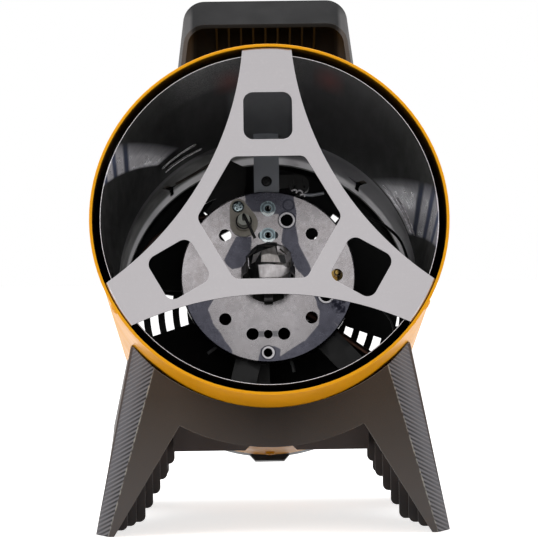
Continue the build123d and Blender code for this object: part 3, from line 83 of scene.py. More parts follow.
class Finish:
    """A Principled material with a few procedural layers, written as calls."""

    def __init__(self, name, colour, roughness, metallic=0.0, specular=0.5):
        self.material = bpy.data.materials.new(name)
        self.material.use_nodes = True
        self.tree = self.material.node_tree
        self.bsdf = self.tree.nodes["Principled BSDF"]
        self.set("Base Color", (*colour, 1))
        self.set("Roughness", roughness)
        self.set("Metallic", metallic)
        self.set("Specular IOR Level", specular)
        self.normal = None

    def set(self, socket, value):
        self.bsdf.inputs[socket].default_value = value

    def node(self, kind, links=None, **settings):
        """Adds a node, sets its sockets or properties and links its inputs."""
        made = self.tree.nodes.new(kind)
        for key, value in settings.items():
            if key in made.inputs:
                made.inputs[key].default_value = value
            else:
                setattr(made, key, value)
        for key, source in (links or {}).items():
            self.tree.links.new(source, made.inputs[key])
        return made

    def place(self):
        """The point in the row frame, which every object shares at rest."""
        return self.node("ShaderNodeTexCoord").outputs["Object"]

    def barrel(self):
        """The point in the barrel's frame: x across, y depth, z up."""
        made = self.node("ShaderNodeMapping", {"Vector": self.place()}, vector_type="TEXTURE")
        made.inputs["Location"].default_value = RIM
        made.inputs["Rotation"].default_value = (-TILT, 0, 0)
        return made.outputs["Vector"]

    def parts(self, source=None):
        """The point's own X, Y and Z, in the barrel's frame unless another source is given."""
        return self.node("ShaderNodeSeparateXYZ", {"Vector": self.barrel() if source is None else source})

    def rolled(self, stretch):
        """Coordinates on the unrolled tube: the angle in radians and the depth times stretch."""
        parts = self.parts()
        angle = self.math("ARCTAN2", parts.outputs["Z"], parts.outputs["X"])
        depth = self.times(parts.outputs["Y"], stretch)
        return self.node("ShaderNodeCombineXYZ", {"X": angle, "Y": depth}).outputs[0]

    def stretched(self, source, scale):
        made = self.node("ShaderNodeMapping", {"Vector": source})
        made.inputs["Scale"].default_value = scale
        return made.outputs["Vector"]

    def math(self, operation, first, second=None):
        made = self.node("ShaderNodeMath", operation=operation)
        for socket, value in zip(made.inputs, (first, second)):
            if isinstance(value, (int, float)):
                socket.default_value = value
            elif value is not None:
                self.tree.links.new(value, socket)
        return made.outputs[0]

    def times(self, first, second):
        return self.math("MULTIPLY", first, second)

    def noise(self, source, scale, detail=4.0, roughness=0.55, distortion=0.0):
        made = self.node("ShaderNodeTexNoise", {"Vector": source}, Scale=scale, Detail=detail,
                         Roughness=roughness, Distortion=distortion)
        return made.outputs["Fac"]

    def spread(self, source, low, high, start=0.0, end=1.0):
        """Maps low to high onto start to end, and holds the ends."""
        made = self.node("ShaderNodeMapRange", {"Value": source})
        for key, value in (("From Min", low), ("From Max", high), ("To Min", start), ("To Max", end)):
            made.inputs[key].default_value = value
        return made.outputs["Result"]

    def tint(self, source, other, strength=1.0):
        """Mixes another colour in where the source is high."""
        made = self.node("ShaderNodeMix", data_type="RGBA")
        self.tree.links.new(self.times(source, strength), made.inputs["Factor"])
        before = self.bsdf.inputs["Base Color"]
        if before.is_linked:
            self.tree.links.new(before.links[0].from_socket, made.inputs["A"])
        else:
            made.inputs["A"].default_value = before.default_value
        made.inputs["B"].default_value = (*other, 1)
        self.tree.links.new(made.outputs["Result"], before)
        return self

    def polar(self):
        """The angle round the barrel in degrees from +X toward the top, and the depth behind the rim in mm."""
        parts = self.parts()
        angle = self.math("ARCTAN2", parts.outputs["Z"], parts.outputs["X"])
        return self.times(angle, 180 / pi), self.times(parts.outputs["Y"], 1 / MM)

    def radius(self, parts, across, up):
        """The distance in mm from a place across and up in the barrel."""
        x = self.math("SUBTRACT", self.times(parts.outputs["X"], 1 / MM), float(across))
        z = self.math("SUBTRACT", self.times(parts.outputs["Z"], 1 / MM), float(up))
        return self.math("SQRT", self.math("ADD", self.times(x, x), self.times(z, z)))

    def window(self, source, low, high, soft):
        """High between two values, with soft ends outside them."""
        return self.times(self.spread(source, low - soft, low),
                         self.spread(source, high + soft, high))

    def polygon(self, across, up, corners, soft):
        """High inside a convex polygon, whose corners are places across and up in millimetres."""
        area = sum(a[0] * b[1] - b[0] * a[1] for a, b in zip(corners, corners[1:] + corners[:1]))
        inside = None
        for (ax, ay), (bx, by) in zip(corners, corners[1:] + corners[:1]):
            length = sqrt((bx - ax) ** 2 + (by - ay) ** 2)
            nx, ny = (ay - by) / length, (bx - ax) / length
            if area < 0:
                nx, ny = -nx, -ny
            along = self.math("ADD", self.times(across, nx), self.times(up, ny))
            away = self.math("SUBTRACT", along, (nx * ax + ny * ay) * MM)
            inside = away if inside is None else self.math("MINIMUM", inside, away)
        return self.spread(inside, -soft, soft)

    def edges(self, reach):
        """High along sharp edges, where the rounded normal leans away from the true one."""
        rounded = self.node("ShaderNodeBevel", samples=6, Radius=reach)
        flat = self.node("ShaderNodeNewGeometry")
        made = self.node("ShaderNodeVectorMath", operation="DOT_PRODUCT")
        self.tree.links.new(rounded.outputs["Normal"], made.inputs[0])
        self.tree.links.new(flat.outputs["Normal"], made.inputs[1])
        return self.spread(made.outputs["Value"], 0.985, 0.85)

    def rough(self, source, low, high):
        self.tree.links.new(self.spread(source, 0.3, 0.7, low, high), self.bsdf.inputs["Roughness"])
        return self

    def bump(self, source, depth, strength=1.0):
        """Raises the surface where the source is high, by a real depth in metres."""
        made = self.node("ShaderNodeBump", {"Height": source}, Strength=strength, Distance=depth)
        if self.normal is not None:
            self.tree.links.new(self.normal, made.inputs["Normal"])
        self.normal = made.outputs["Normal"]
        self.tree.links.new(self.normal, self.bsdf.inputs["Normal"])
        return self


def yellow_paint():
    """Yellow paint, with painted highlights along its edges and painted shade, near black, between the shell and
    its lining.
    """
    made = Finish("yellow_paint", (0.84, 0.365, 0.002), 0.42, specular=0.16)
    made.tint(made.noise(made.place(), 9), (0.77, 0.31, 0.002), 0.5)
    made.tint(made.spread(made.noise(made.place(), 160, 6), 0.64, 0.74), (0.55, 0.21, 0.003), 0.35)
    # Painted highlights along the edges.
    made.tint(made.edges(0.8 * MM), (0.9, 0.5, 0.05), 0.4)
    parts = made.parts()
    _, depth = made.polar()
    # Painted shade, near black, over the inside of the shell behind its rim.
    shaded_inside = made.times(made.spread(made.radius(parts, 0, 0), 137.6, 137.2),
                       made.spread(depth, 0.8, 3.2))
    made.tint(made.times(shaded_inside, made.spread(depth, 360, 340)), (0.018, 0.009, 0.002), 0.93)
    made.rough(made.noise(made.place(), 30), 0.3, 0.45)
    return made.bump(made.noise(made.place(), 700, 2), 0.00012, 0.35).material


# Painted reflections, as pale striped patches low on the enamel's right and left. Each lies between two lines that
# rise with the depth, given as the angle at the rim and the degrees per millimetre. Then come one pale stripe's
# angle, the pitch of the stripes, the depth where the patch ends, the angle where it turns wholly pale, and its
# colour.
REFLECTION_RIGHT = ((-11.4, 0.1195), (8.0, 0.141), 15.5, 10.5, 243, 26.0, (0.6, 0.575, 0.61))
REFLECTION_LEFT = ((11.6, 0.172), (25.5, 0.145), 27.0, 8.4, 186, 32.5, (1.0, 0.96, 1.0))
STRIPE_TWIST = 0.03


def black_enamel():
    """Hot chamber: near-black enamel, dusty near its mouth, with painted shade over its lower half and left side,
    and painted reflections as pale striped patches low on both sides.
    """
    made = Finish("black_enamel", (0.03, 0.03, 0.0295), 0.55, specular=0.03)
    angle, depth = made.polar()
    top = made.window(angle, 55, 125, 22)
    made.tint(top, (0.075, 0.073, 0.076), 0.9)
    made.tint(made.times(made.window(angle, 82, 99, 6), made.spread(depth, 70, 110)),
              (0.32, 0.325, 0.345), 0.92)
    made.tint(made.noise(made.rolled(3), 6, 5), (0.045, 0.045, 0.043), 0.45)
    grain = made.spread(made.noise(made.place(), 900, 4, 0.7), 0.42, 0.66)
    mouth = made.times(made.window(depth, -20, 62, 16), made.window(angle, 84, 128, 12))
    made.tint(made.times(grain, mouth), (0.26, 0.26, 0.26), 0.7)
    for centre, middle in ((103.5, 62), (67.5, 42)):
        spot = made.times(made.window(angle, centre - 0.5, centre + 0.5, 6),
                         made.window(depth, middle - 4, middle + 4, 34))
        made.tint(spot, (0.22, 0.08, 0.075), 0.5)
    # Painted shade over the lower half and the left side.
    made.tint(made.window(angle, -172, -14, 14), (0.01, 0.0092, 0.008), 0.95)
    made.tint(made.window(angle, 128, 186, 12), (0.02, 0.02, 0.0195), 0.8)
    # Painted reflections: dark blue-grey patches low on both sides, striped with pale glints, made metallic and
    # smoother there.
    glitter = made.noise(made.stretched(made.rolled(1), (9, 260, 1)), 1, 6, 0.75)
    glitter = made.spread(glitter, 0.3, 0.66, 0.55, 1)
    left = made.math("SUBTRACT", 180.0, angle)
    painted_reflection = None
    for side, patch in ((angle, REFLECTION_RIGHT), (left, REFLECTION_LEFT)):
        (low_start, low_rise), (high_start, high_rise), first, pitch, reach, whole, reflection_colour = patch
        low = made.math("ADD", made.times(depth, low_rise), low_start)
        high = made.math("ADD", made.times(depth, high_rise), high_start)
        above = made.spread(made.math("SUBTRACT", high, side), -2.0, 4.5)
        below = made.spread(made.math("SUBTRACT", side, low), -0.5, 0.8)
        phase = made.math("ADD", side, made.times(depth, STRIPE_TWIST))
        solid = made.spread(phase, whole, whole + 1.5)
        phase = made.times(made.math("SUBTRACT", phase, float(first)), 2 * pi / pitch)
        stripes = made.math("MAXIMUM", solid, made.spread(made.math("COSINE", phase), -0.8, 0.1))
        inside = made.times(made.times(above, below), made.window(depth, -30, reach, 8))
        made.tint(inside, (0.08, 0.095, 0.16), 0.9)
        pale = made.times(made.times(inside, stripes), glitter)
        made.tint(pale, reflection_colour, 0.95)
        painted_reflection = pale if painted_reflection is None else made.math("MAXIMUM", painted_reflection, pale)
    made.tree.links.new(made.times(painted_reflection, 0.8), made.bsdf.inputs["Metallic"])
    dull = made.spread(made.noise(made.rolled(1.5), 14, 6), 0.3, 0.7, 0.48, 0.62)
    polished = made.math("SUBTRACT", dull, made.times(painted_reflection, 0.3))
    made.tree.links.new(polished, made.bsdf.inputs["Roughness"])
    made.bump(made.noise(made.rolled(0.6), 16, 5), 0.0006, 0.25)
    return made.bump(made.noise(made.place(), 500, 3), 0.00008, 0.5).material


def duct_steel():
    """Fan duct: dull galvanised sheet, browned, with a pale front edge, painted light over its right side, a
    painted highlight band toward the fan and painted shadow over its lower half.
    """
    made = Finish("duct_steel", (0.1, 0.095, 0.092), 0.5, metallic=0.1, specular=0.06)
    angle, depth = made.polar()
    made.tint(made.noise(made.place(), 24, 5), (0.07, 0.064, 0.06), 0.7)
    left = made.window(angle, 84, 176, 10)
    made.tint(made.times(left, made.window(depth, 276, 306, 14)), (0.045, 0.042, 0.036), 0.85)
    made.tint(made.times(left, made.window(depth, 236, 262, 6)), (0.17, 0.16, 0.17), 0.85)
    # Painted light over the right side, paler still at its front edge.
    right = made.window(angle, 10, 78, 8)
    made.tint(right, (0.36, 0.345, 0.385), 0.85)
    made.tint(made.times(right, made.window(depth, 236, 258, 8)), (0.42, 0.41, 0.45), 0.7)
    # Painted highlight: a pale, partly metallic band toward the fan.
    band = made.times(made.window(depth, 322, 345, 9), made.window(angle, 8, 172, 10))
    made.tint(band, (0.6, 0.58, 0.6), 0.9)
    made.tree.links.new(made.times(band, 0.6), made.bsdf.inputs["Metallic"])
    # Painted shadow over the lower half.
    low = made.math("SUBTRACT", 1.0, made.window(angle, 10, 174, 6))
    made.tint(low, (0.012, 0.011, 0.01), 0.96)
    made.rough(made.noise(made.place(), 80, 5), 0.42, 0.56)
    return made.bump(made.noise(made.place(), 300, 4), 0.0001, 0.4).material


def galvanised():
    """Galvanised sheet with its crystals, in shade below the burner's axis."""
    made = Finish("galvanised", (0.3, 0.312, 0.34), 0.5, metallic=0.5)
    cells = made.node("ShaderNodeTexVoronoi", {"Vector": made.place()}, Scale=75)
    made.tint(made.spread(cells.outputs["Color"], 0.2, 0.8), (0.36, 0.375, 0.41), 0.5)
    made.tint(made.noise(made.place(), 24, 5), (0.24, 0.245, 0.26), 0.5)
    parts = made.parts()
    made.tint(made.spread(parts.outputs["Z"], -0.01, -0.03), (0.012, 0.011, 0.01), 0.95)
    made.rough(cells.outputs["Color"], 0.36, 0.56)
    return made.bump(made.noise(made.place(), 300, 4), 0.0001, 0.4).material


def stainless():
    """Brushed stainless of the guard, with painted highlights along its cut edges."""
    made = Finish("stainless", (0.475, 0.452, 0.465), 0.36, metallic=1.0)
    lines = made.stretched(made.barrel(), (1, 40, 60))
    made.tint(made.noise(lines, 26, 8, 0.7), (0.42, 0.4, 0.412), 0.5)
    made.tint(made.noise(made.barrel(), 11, 3), (0.52, 0.5, 0.512), 0.6)
    made.tint(made.spread(made.noise(made.place(), 420, 5, 0.7), 0.55, 0.75), (0.57, 0.545, 0.55), 0.4)
    # Painted highlights along the cut edges.
    made.tint(made.edges(0.45 * MM), (0.8, 0.78, 0.79), 0.9)
    made.rough(made.noise(lines, 30, 6, 0.7), 0.3, 0.44)
    return made.bump(made.noise(lines, 60, 6, 0.7), 0.00005, 0.45).material


# Painted reflection of the guard's dark back on the burner plate, as polygons across and up in the barrel, in
# millimetres
GUARD_REFLECTION = (
    ((-19, 75), (-17.7, 66), (-12.6, 57.5), (25, 54), (23.4, 75)),
    ((24.3, 60), (9, 60), (14.2, 42), (25.4, 40)),
    ((25.4, 42), (14, 42), (12.2, 30), (26.9, 27.5)),
    ((26.7, 28), (12.2, 30), (23.7, 7.9), (33, -3), (41, -3)),
    ((-27.5, 35), (-37.5, 15), (-30.9, 6.4), (-18.5, 9.4), (-14.8, 22), (-14, 35)),
    ((-76, -17), (-45.5, -17), (-51.6, -27.7), (-76, -30)),
    ((-76, -27), (-51.6, -27), (-47.4, -40.3), (-56, -56), (-76, -45)),
    ((-47.4, -40.3), (-32, -66), (-32, -76), (-56, -56)),
    ((-10, -76), (-7, -63.5), (-4, -61.5), (5, -61.5), (10, -64), (9, -76)),
    ((38.2, -17), (72, -21), (70, -34), (61, -45), (44, -32)),
    ((44, -31), (61, -46), (52, -55), (42.5, -44)),
    ((43, -43), (56, -52), (44, -66), (31, -57)),
    ((30, -57), (8, -71), (8, -78), (40, -70), (48, -62)),
)


def burner_steel():
    """Burner plate: mottled bright steel, a painted reflection of the guard's dark back, painted shade behind its
    front face, painted highlights along its edges, pressed details and rings round some holes.
    """
    made = Finish("burner_steel", (0.52, 0.49, 0.505), 0.24, metallic=1.0)
    flat = made.spread(made.noise(made.place(), 60, 8, 0.7), 0.42, 0.68)
    made.tint(flat, (0.4, 0.365, 0.365), 0.8)
    made.tint(made.spread(made.noise(made.place(), 230, 6, 0.7), 0.5, 0.66), (0.6, 0.575, 0.59), 0.7)
    parts = made.parts()
    across, up, depth = parts.outputs["X"], parts.outputs["Z"], parts.outputs["Y"]
    made.tint(made.spread(up, 0.0, -0.05), (0.33, 0.315, 0.325), 0.75)
    warp = made.times(made.math("SUBTRACT", made.noise(made.place(), 70, 4), 0.5), 0.004)
    # Painted reflection of the guard's dark back, mottled and scratched within.
    band = None
    for corners in GUARD_REFLECTION:
        inside = made.polygon(made.math("ADD", across, warp), made.math("ADD", up, warp), corners,
                              0.5 * MM)
        band = inside if band is None else made.math("ADD", band, inside)
    band = made.spread(band, 0.05, 0.85)
    mottle = made.spread(made.noise(made.place(), 150, 7, 0.75), 0.35, 0.62)
    made.tint(band, (0.07, 0.071, 0.094), 0.96)
    made.tint(made.times(band, mottle), (0.15, 0.15, 0.185), 0.6)
    scratches = made.noise(made.stretched(made.barrel(), (1, 1, 14)), 90, 6, 0.8)
    made.tint(made.times(band, made.spread(scratches, 0.62, 0.7)), (0.22, 0.22, 0.26), 0.5)
    channel = made.polygon(across, up, ((-14, -48), (13, -48), (13, -53), (-14, -53)), 0.5 * MM)
    made.tint(channel, (0.13, 0.13, 0.14), 0.85)
    pressed = made.radius(parts, *PRESSED_RING)
    made.tint(made.window(pressed, 4.4, 5.0, 0.5), (0.02, 0.022, 0.035), 0.8)
    for hole_across, hole_up, size in RINGED_HOLES:
        away = made.radius(parts, hole_across, hole_up)
        made.tint(made.window(away, size + 1.7, size + 2.4, 0.4), (0.03, 0.03, 0.04), 0.8)
        made.tint(made.window(away, size - 1, size + 1.4, 0.3), (0.66, 0.64, 0.66), 0.85)
    soot = made.polygon(across, up, ((54, -21.5), (66, -22), (66, -33), (57, -33.5), (53, -27)),
                        0.8 * MM)
    made.tint(made.times(soot, made.spread(made.noise(made.place(), 240, 5), 0.42, 0.55)),
              (0.012, 0.012, 0.02), 0.95)
    # Painted shade on whatever lies more than 1.7 mm behind the plate's front face.
    front = made.spread(depth, PLATE_DEPTH + 1.7 * MM, PLATE_DEPTH + 1.1 * MM)
    made.tint(made.math("SUBTRACT", 1.0, front), (0.12, 0.12, 0.125), 0.8)
    # Painted highlights along the edges.
    made.tint(made.edges(0.5 * MM), (0.8, 0.78, 0.8), 0.7)
    made.rough(made.noise(made.place(), 85, 8, 0.7), 0.18, 0.34)
    return made.bump(made.noise(made.place(), 42, 4), 0.00018, 0.45).material


def cup_steel(name="cup_steel", colour=(0.66, 0.62, 0.6), other=(0.4, 0.365, 0.35), metallic=0.6):
    """Scorched, brushed sheet of the flame cup, in the brightness of one of its planes: its lit and shaded copies
    paint the light and shade that fall on the planes.
    """
    made = Finish(name, colour, 0.42, metallic=metallic, specular=0.3)
    lines = made.stretched(made.barrel(), (9, 1, 1))
    made.tint(made.spread(made.noise(lines, 60, 6, 0.7), 0.4, 0.65), other, 0.75)
    paler = tuple(part * 1.3 for part in colour)
    made.tint(made.spread(made.noise(made.place(), 260, 6, 0.7), 0.5, 0.68), paler, 0.5)
    made.rough(made.noise(made.place(), 110, 6), 0.32, 0.5)
    return made.bump(made.noise(made.place(), 130, 5, 0.6, 1.5), 0.0004, 0.5).material


def plain(name, colour, roughness, patches, rough, grain, edge=None, **settings):
    """A finish without a pattern: patches of other colours, paler edges as painted highlights, uneven roughness
    and a fine grain.
    """
    made = Finish(name, colour, roughness, **settings)
    for scale, detail, low, high, other, strength in patches:
        made.tint(made.spread(made.noise(made.place(), scale, detail), low, high), other, strength)
    # Painted highlights: paler edges.
    if edge is not None:
        reach, other, strength = edge
        made.tint(made.edges(reach * MM), other, strength)
    scale, detail, low, high = rough
    made.rough(made.noise(made.place(), scale, detail), low, high)
    scale, detail, depth, strength = grain
    return made.bump(made.noise(made.place(), scale, detail), depth, strength).material


def sleeve(name, colour):
    """A matt coat in one colour, with darker patches."""
    darker = tuple(part * 0.5 for part in colour)
    return plain(name, colour, 0.5, ((120, 4, 0, 1, darker, 0.7),), (300, 4, 0.4, 0.62),
                 (1400, 2, 0.00008, 0.4))


def rivet_zinc():
    """Bright zinc of the two rivet nuts: a grooved flange, a bore painted black as shade, a painted highlight low
    on each flange and painted shade over the lower nut's ears.
    """
    made = Finish("rivet_zinc", (0.4, 0.49, 0.52), 0.2, metallic=1.0)
    parts = made.parts()
    made.tint(made.noise(made.place(), 90, 4), (0.24, 0.32, 0.35), 0.7)
    for across, up in RIVET_NUTS:
        away = made.radius(parts, across, up)
        made.tint(made.window(away, 4.2, 5.4, 0.5), (0.1, 0.13, 0.15), 0.75)
        # Painted shade: the bore black.
        made.tint(made.window(away, -1, 2.6, 0.5), (0.004, 0.005, 0.007), 0.98)
        # Painted highlight low on the flange.
        low = made.times(made.window(away, 4.6, 6.4, 0.5),
                        made.spread(parts.outputs["Z"], (up - 2.4) * MM, (up - 4.0) * MM))
        made.tint(low, (0.9, 0.96, 0.96), 0.9)
    # Painted shade over the lower nut's ears.
    ear = made.times(made.spread(made.math("ABSOLUTE", parts.outputs["X"]), 6.3 * MM, 6.9 * MM),
                    made.spread(parts.outputs["Z"], 0.048, 0.046))
    made.tint(ear, (0.012, 0.013, 0.016), 0.95)
    made.rough(made.noise(made.place(), 300, 4), 0.14, 0.3)
    return made.bump(made.noise(made.place(), 900, 3), 0.00004, 0.4).material


def sensor_brass():
    """Brass sensor seen down its pale collar, its far side painted black as shade."""
    made = Finish("sensor_brass", (0.5, 0.33, 0.1), 0.28, metallic=1.0)
    parts = made.parts()
    made.tint(made.noise(made.place(), 160, 5), (0.3, 0.18, 0.05), 0.7)
    # Painted shade: the far side black.
    made.tint(made.spread(parts.outputs["X"], 0.0588, 0.0602), (0.012, 0.01, 0.008), 0.9)
    made.tint(made.window(made.radius(parts, *SENSOR), 5.4, 9, 0.4), (0.62, 0.6, 0.61), 0.9)
    made.rough(made.noise(made.place(), 400, 4), 0.2, 0.38)
    return made.bump(made.noise(made.place(), 700, 3), 0.00006, 0.5).material


def ceramic():
    """Igniter: an olive-grey plate, a dark groove round the insulator and its paler glazed tip."""
    made = Finish("ceramic", (0.42, 0.385, 0.33), 0.45, metallic=0.35)
    parts = made.parts()
    made.tint(made.spread(made.noise(made.place(), 80, 6), 0.45, 0.7), (0.33, 0.3, 0.255), 0.8)
    made.tint(made.spread(made.noise(made.place(), 500, 4), 0.58, 0.7), (0.52, 0.49, 0.43), 0.5)
    away = made.radius(parts, *IGNITER)
    tip = made.times(made.window(away, -1, 5.3, 0.3),
                    made.spread(parts.outputs["Y"], PLATE_DEPTH - 5.5 * MM, PLATE_DEPTH - 8.5 * MM))
    made.tint(tip, (0.58, 0.6, 0.54), 0.9)
    # Painted highlights along the edges.
    made.tint(made.edges(0.5 * MM), (0.6, 0.56, 0.48), 0.6)
    made.rough(made.noise(made.place(), 250, 4), 0.3, 0.55)
    return made.bump(made.noise(made.place(), 900, 4), 0.00008, 0.5).material


def moulded(name, colour, lighter, grain, roughness, edge=(0.16, 0.15, 0.13), edge_highlight_strength=0.8, specular=0.4):
    """Textured plastic: a fine spark-eroded grain, faint flow marks and pale lines along its edges as painted
    highlights.
    """
    made = Finish(name, colour, roughness, specular=specular)
    made.tint(made.noise(made.place(), 14, 4), lighter, 0.5)
    made.tint(made.spread(made.noise(made.place(), grain * 1.4, 3), 0.55, 0.75), lighter, 0.5)
    # Painted highlights along the edges.
    made.tint(made.edges(0.7 * MM), edge, edge_highlight_strength)
    made.rough(made.noise(made.place(), 40, 5), roughness - 0.07, roughness + 0.08)
    return made.bump(made.noise(made.place(), grain, 3, 0.6), 0.00014, 0.5)


# The grooved facets of the front legs: their inner line leans in from the foot to the crown
FOOT_FACET = 129.8 * MM
CROWN_FACET = 92.0 * MM
FACET_HEIGHT = 132.3 * MM
FACET_LEAN = (FOOT_FACET - CROWN_FACET) / FACET_HEIGHT
FACET_PITCH = 3.16 * MM
FACET_SLOPE = 0.6
FACET_REACH = 15 * MM


def ribbed_base():
    """Olive-black plastic, greyer down the legs, with fine grooves that rise inward on the facets; the facets are
    painted paler as sheen, with painted shade in the grooves' valleys, painted highlights on their crests and a
    painted highlight line along the facets' inner edge.
    """
    made = moulded("base_plastic_ribbed", (0.047, 0.037, 0.029), (0.066, 0.053, 0.044), 900, 0.5,
                   (0.34, 0.31, 0.28), specular=0.12)
    parts = made.parts(made.place())
    out = made.math("ABSOLUTE", parts.outputs["X"])
    made.tint(made.spread(out, 0.075, 0.01), (0.0065, 0.0032, 0.001), 0.92)
    made.tint(made.spread(parts.outputs["Z"], 0.11, 0.02), (0.1, 0.091, 0.088), 0.85)
    line = made.math("ADD", out, made.times(parts.outputs["Z"], FACET_LEAN))
    facet = made.spread(line, FOOT_FACET, FOOT_FACET + 0.35 * MM)
    away = made.spread(line, FOOT_FACET, FOOT_FACET + FACET_REACH)
    # Painted sheen: the facets paler, more so away from their inner line.
    made.tint(facet, (0.088, 0.085, 0.092), 0.95)
    rise = made.math("ADD", parts.outputs["Z"], made.times(out, FACET_SLOPE))
    wave = made.math("SINE", made.times(rise, 2 * pi / FACET_PITCH))
    made.tint(made.times(facet, away), (0.15, 0.147, 0.158), 0.9)
    # Painted shade in the grooves' valleys.
    groove = made.times(made.spread(wave, 0.25, 0.95), facet)
    shaded_valley = made.times(groove, made.spread(away, 0.75, 0.1, 0.16, 1.0))
    made.tint(shaded_valley, (0.006, 0.0055, 0.005), 0.97)
    # Painted highlights on the grooves' crests.
    lit_crest = made.times(made.spread(wave, -0.3, -0.95), facet)
    made.tint(lit_crest, (0.26, 0.25, 0.265), 0.5)
    # Painted highlight along the facets' inner edge.
    rim = made.window(line, FOOT_FACET - 0.35 * MM, FOOT_FACET + 0.45 * MM, 0.3 * MM)
    made.tint(made.times(rim, made.spread(made.noise(made.place(), 260, 3), 0.4, 0.6)),
              (0.32, 0.31, 0.28), 0.8)
    return made.bump(made.times(wave, facet), 0.0006, 0.5).material


def side_material():
    """The base's inner plastic, a dusty mauve-grey that darkens toward the feet."""
    made = moulded("base_plastic_side", (0.085, 0.07, 0.068), (0.11, 0.094, 0.09), 900, 0.5, (0.3, 0.27, 0.25),
                   specular=0.25)
    parts = made.parts(made.place())
    return made.tint(made.spread(parts.outputs["Z"], 0.05, 0.012), (0.028, 0.025, 0.025), 0.85).material


def handle_material():
    """The handle's textured plastic, with painted shade among the ribs of its grip and painted highlights down its
    rounded sides.
    """
    made = moulded("handle_plastic", (0.015, 0.015, 0.016), (0.022, 0.022, 0.023), 1000, 0.62,
                   (0.13, 0.12, 0.11), 0.5, 0.1)
    _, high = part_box("handle")
    parts = made.parts(made.place())
    out = made.math("ABSOLUTE", parts.outputs["X"])
    # Painted shade among the ribs of the grip.
    inner = made.times(made.spread(out, 59 * MM, 57 * MM),
                      made.spread(parts.outputs["Z"], high.z - 21 * MM, high.z - 24 * MM))
    made.tint(inner, (0.006, 0.005, 0.0035), 0.92)
    # Painted highlights down the rounded sides.
    outer = made.times(made.spread(out, 59.5 * MM, 62.5 * MM),
                      made.spread(parts.outputs["Z"], high.z - 4 * MM, high.z - 14 * MM))
    return made.tint(outer, (0.12, 0.117, 0.118), 0.85).material


finishes = {
    "yellow_paint": yellow_paint(),
    "black_enamel": black_enamel(),
    "galvanised": galvanised(),
    "galvanised_dull": sleeve("galvanised_dull", (0.3, 0.3, 0.3)),
    "stainless": stainless(),
    "burner_steel": burner_steel(),
    "cup_steel": cup_steel(),
    "burnt_steel": plain("burnt_steel", (0.016, 0.015, 0.0145), 0.34,
                         ((90, 6, 0.45, 0.7, (0.045, 0.04, 0.034), 0.7),
                          (420, 4, 0.6, 0.72, (0.11, 0.1, 0.085), 0.4)),
                         (110, 6, 0.26, 0.46), (200, 5, 0.0002, 0.4), metallic=0.8),
    "zinc": plain("zinc", (0.42, 0.5, 0.52), 0.22, ((70, 4, 0, 1, (0.26, 0.33, 0.36), 0.7),),
                  (500, 4, 0.16, 0.32), (900, 3, 0.00004, 0.4), (0.4, (0.85, 0.9, 0.9), 0.8), metallic=1.0),
    "brass": plain("brass", (0.62, 0.42, 0.15), 0.25, ((120, 6, 0, 1, (0.4, 0.25, 0.09), 0.7),),
                   (400, 4, 0.18, 0.38), (700, 3, 0.00006, 0.5), (0.4, (0.85, 0.7, 0.4), 0.7), metallic=1.0),
    "tube_copper": plain("tube_copper", (0.1, 0.05, 0.035), 0.36, ((60, 6, 0, 1, (0.05, 0.03, 0.024), 0.8),),
                         (200, 4, 0.26, 0.48), (300, 3, 0.0001, 0.4), metallic=1.0),
    "ceramic": ceramic(),
    "black_plastic": moulded("black_plastic", (0.014, 0.014, 0.0145), (0.024, 0.0235, 0.023), 1000, 0.46,
                             (0.05, 0.045, 0.04), 0.6, 0.3).material,
    "base_plastic": moulded("base_plastic", (0.03, 0.026, 0.024), (0.046, 0.041, 0.038), 900, 0.44,
                            (0.22, 0.2, 0.18)).material,
    "black_rubber": plain("rubber", (0.012, 0.012, 0.012), 0.7, ((60, 5, 0, 1, (0.025, 0.024, 0.023), 0.7),),
                          (200, 4, 0.6, 0.85), (900, 3, 0.0001, 0.5), specular=0.3),
    "motor_steel": plain("dark_steel", (0.02, 0.02, 0.021), 0.4, ((90, 6, 0, 1, (0.038, 0.036, 0.033), 0.7),),
                         (200, 4, 0.32, 0.5), (600, 3, 0.00008, 0.5), metallic=0.5, specular=0.3),
    "red_plastic": plain("red_plastic", (0.42, 0.012, 0.01), 0.28, ((40, 4, 0, 1, (0.33, 0.008, 0.007), 0.6),),
                         (150, 4, 0.2, 0.36), (900, 2, 0.00005, 0.5), (0.5, (0.6, 0.1, 0.08), 0.6)),
}
white = plain("white_ink", (0.75, 0.75, 0.74), 0.45, ((300, 4, 0, 1, (0.6, 0.6, 0.59), 0.6),),
              (300, 4, 0.38, 0.55), (900, 2, 0.00003, 0.4))
bright = plain("bright_steel", (0.86, 0.83, 0.85), 0.24, ((200, 5, 0, 1, (0.6, 0.57, 0.6), 0.6),),
               (300, 4, 0.16, 0.34), (600, 4, 0.00005, 0.4), metallic=0.6)
# Lit and shaded copies of the cup's sheet: painted light and painted shade for its planes.
cup_lit = cup_steel("cup_steel_lit", (0.96, 0.91, 0.92), (0.78, 0.73, 0.73), 0.6)
cup_shaded = cup_steel("cup_steel_shaded", (0.055, 0.055, 0.057), (0.03, 0.03, 0.031), 0.2)
side_plastic = side_material()
sleeves = {name: sleeve("sleeve_" + name, colour) for name, colour in
           (("brown", (0.03, 0.014, 0.008)), ("black", (0.012, 0.012, 0.012)), ("rust", (0.06, 0.02, 0.01)))}


def coat(name, material):
    """Gives a CAD node one material."""
    nodes[name].data.materials.clear()
    nodes[name].data.materials.append(material)


for entry in frame["record"]["subparts"]:
    coat(entry["node"], finishes[entry["material_slot"]])
for name, material in (("base_front_arch", ribbed_base()), ("fan_duct", duct_steel()),
                       ("plate_rivet_nuts", rivet_zinc()), ("base_side_left", side_plastic),
                       ("base_side_right", side_plastic), ("base_cross_panel", side_plastic),
                       ("handle", handle_material()), ("flame_sensor", sensor_brass()),
                       ("overheat_switch", finishes["motor_steel"])):
    coat(name, material)


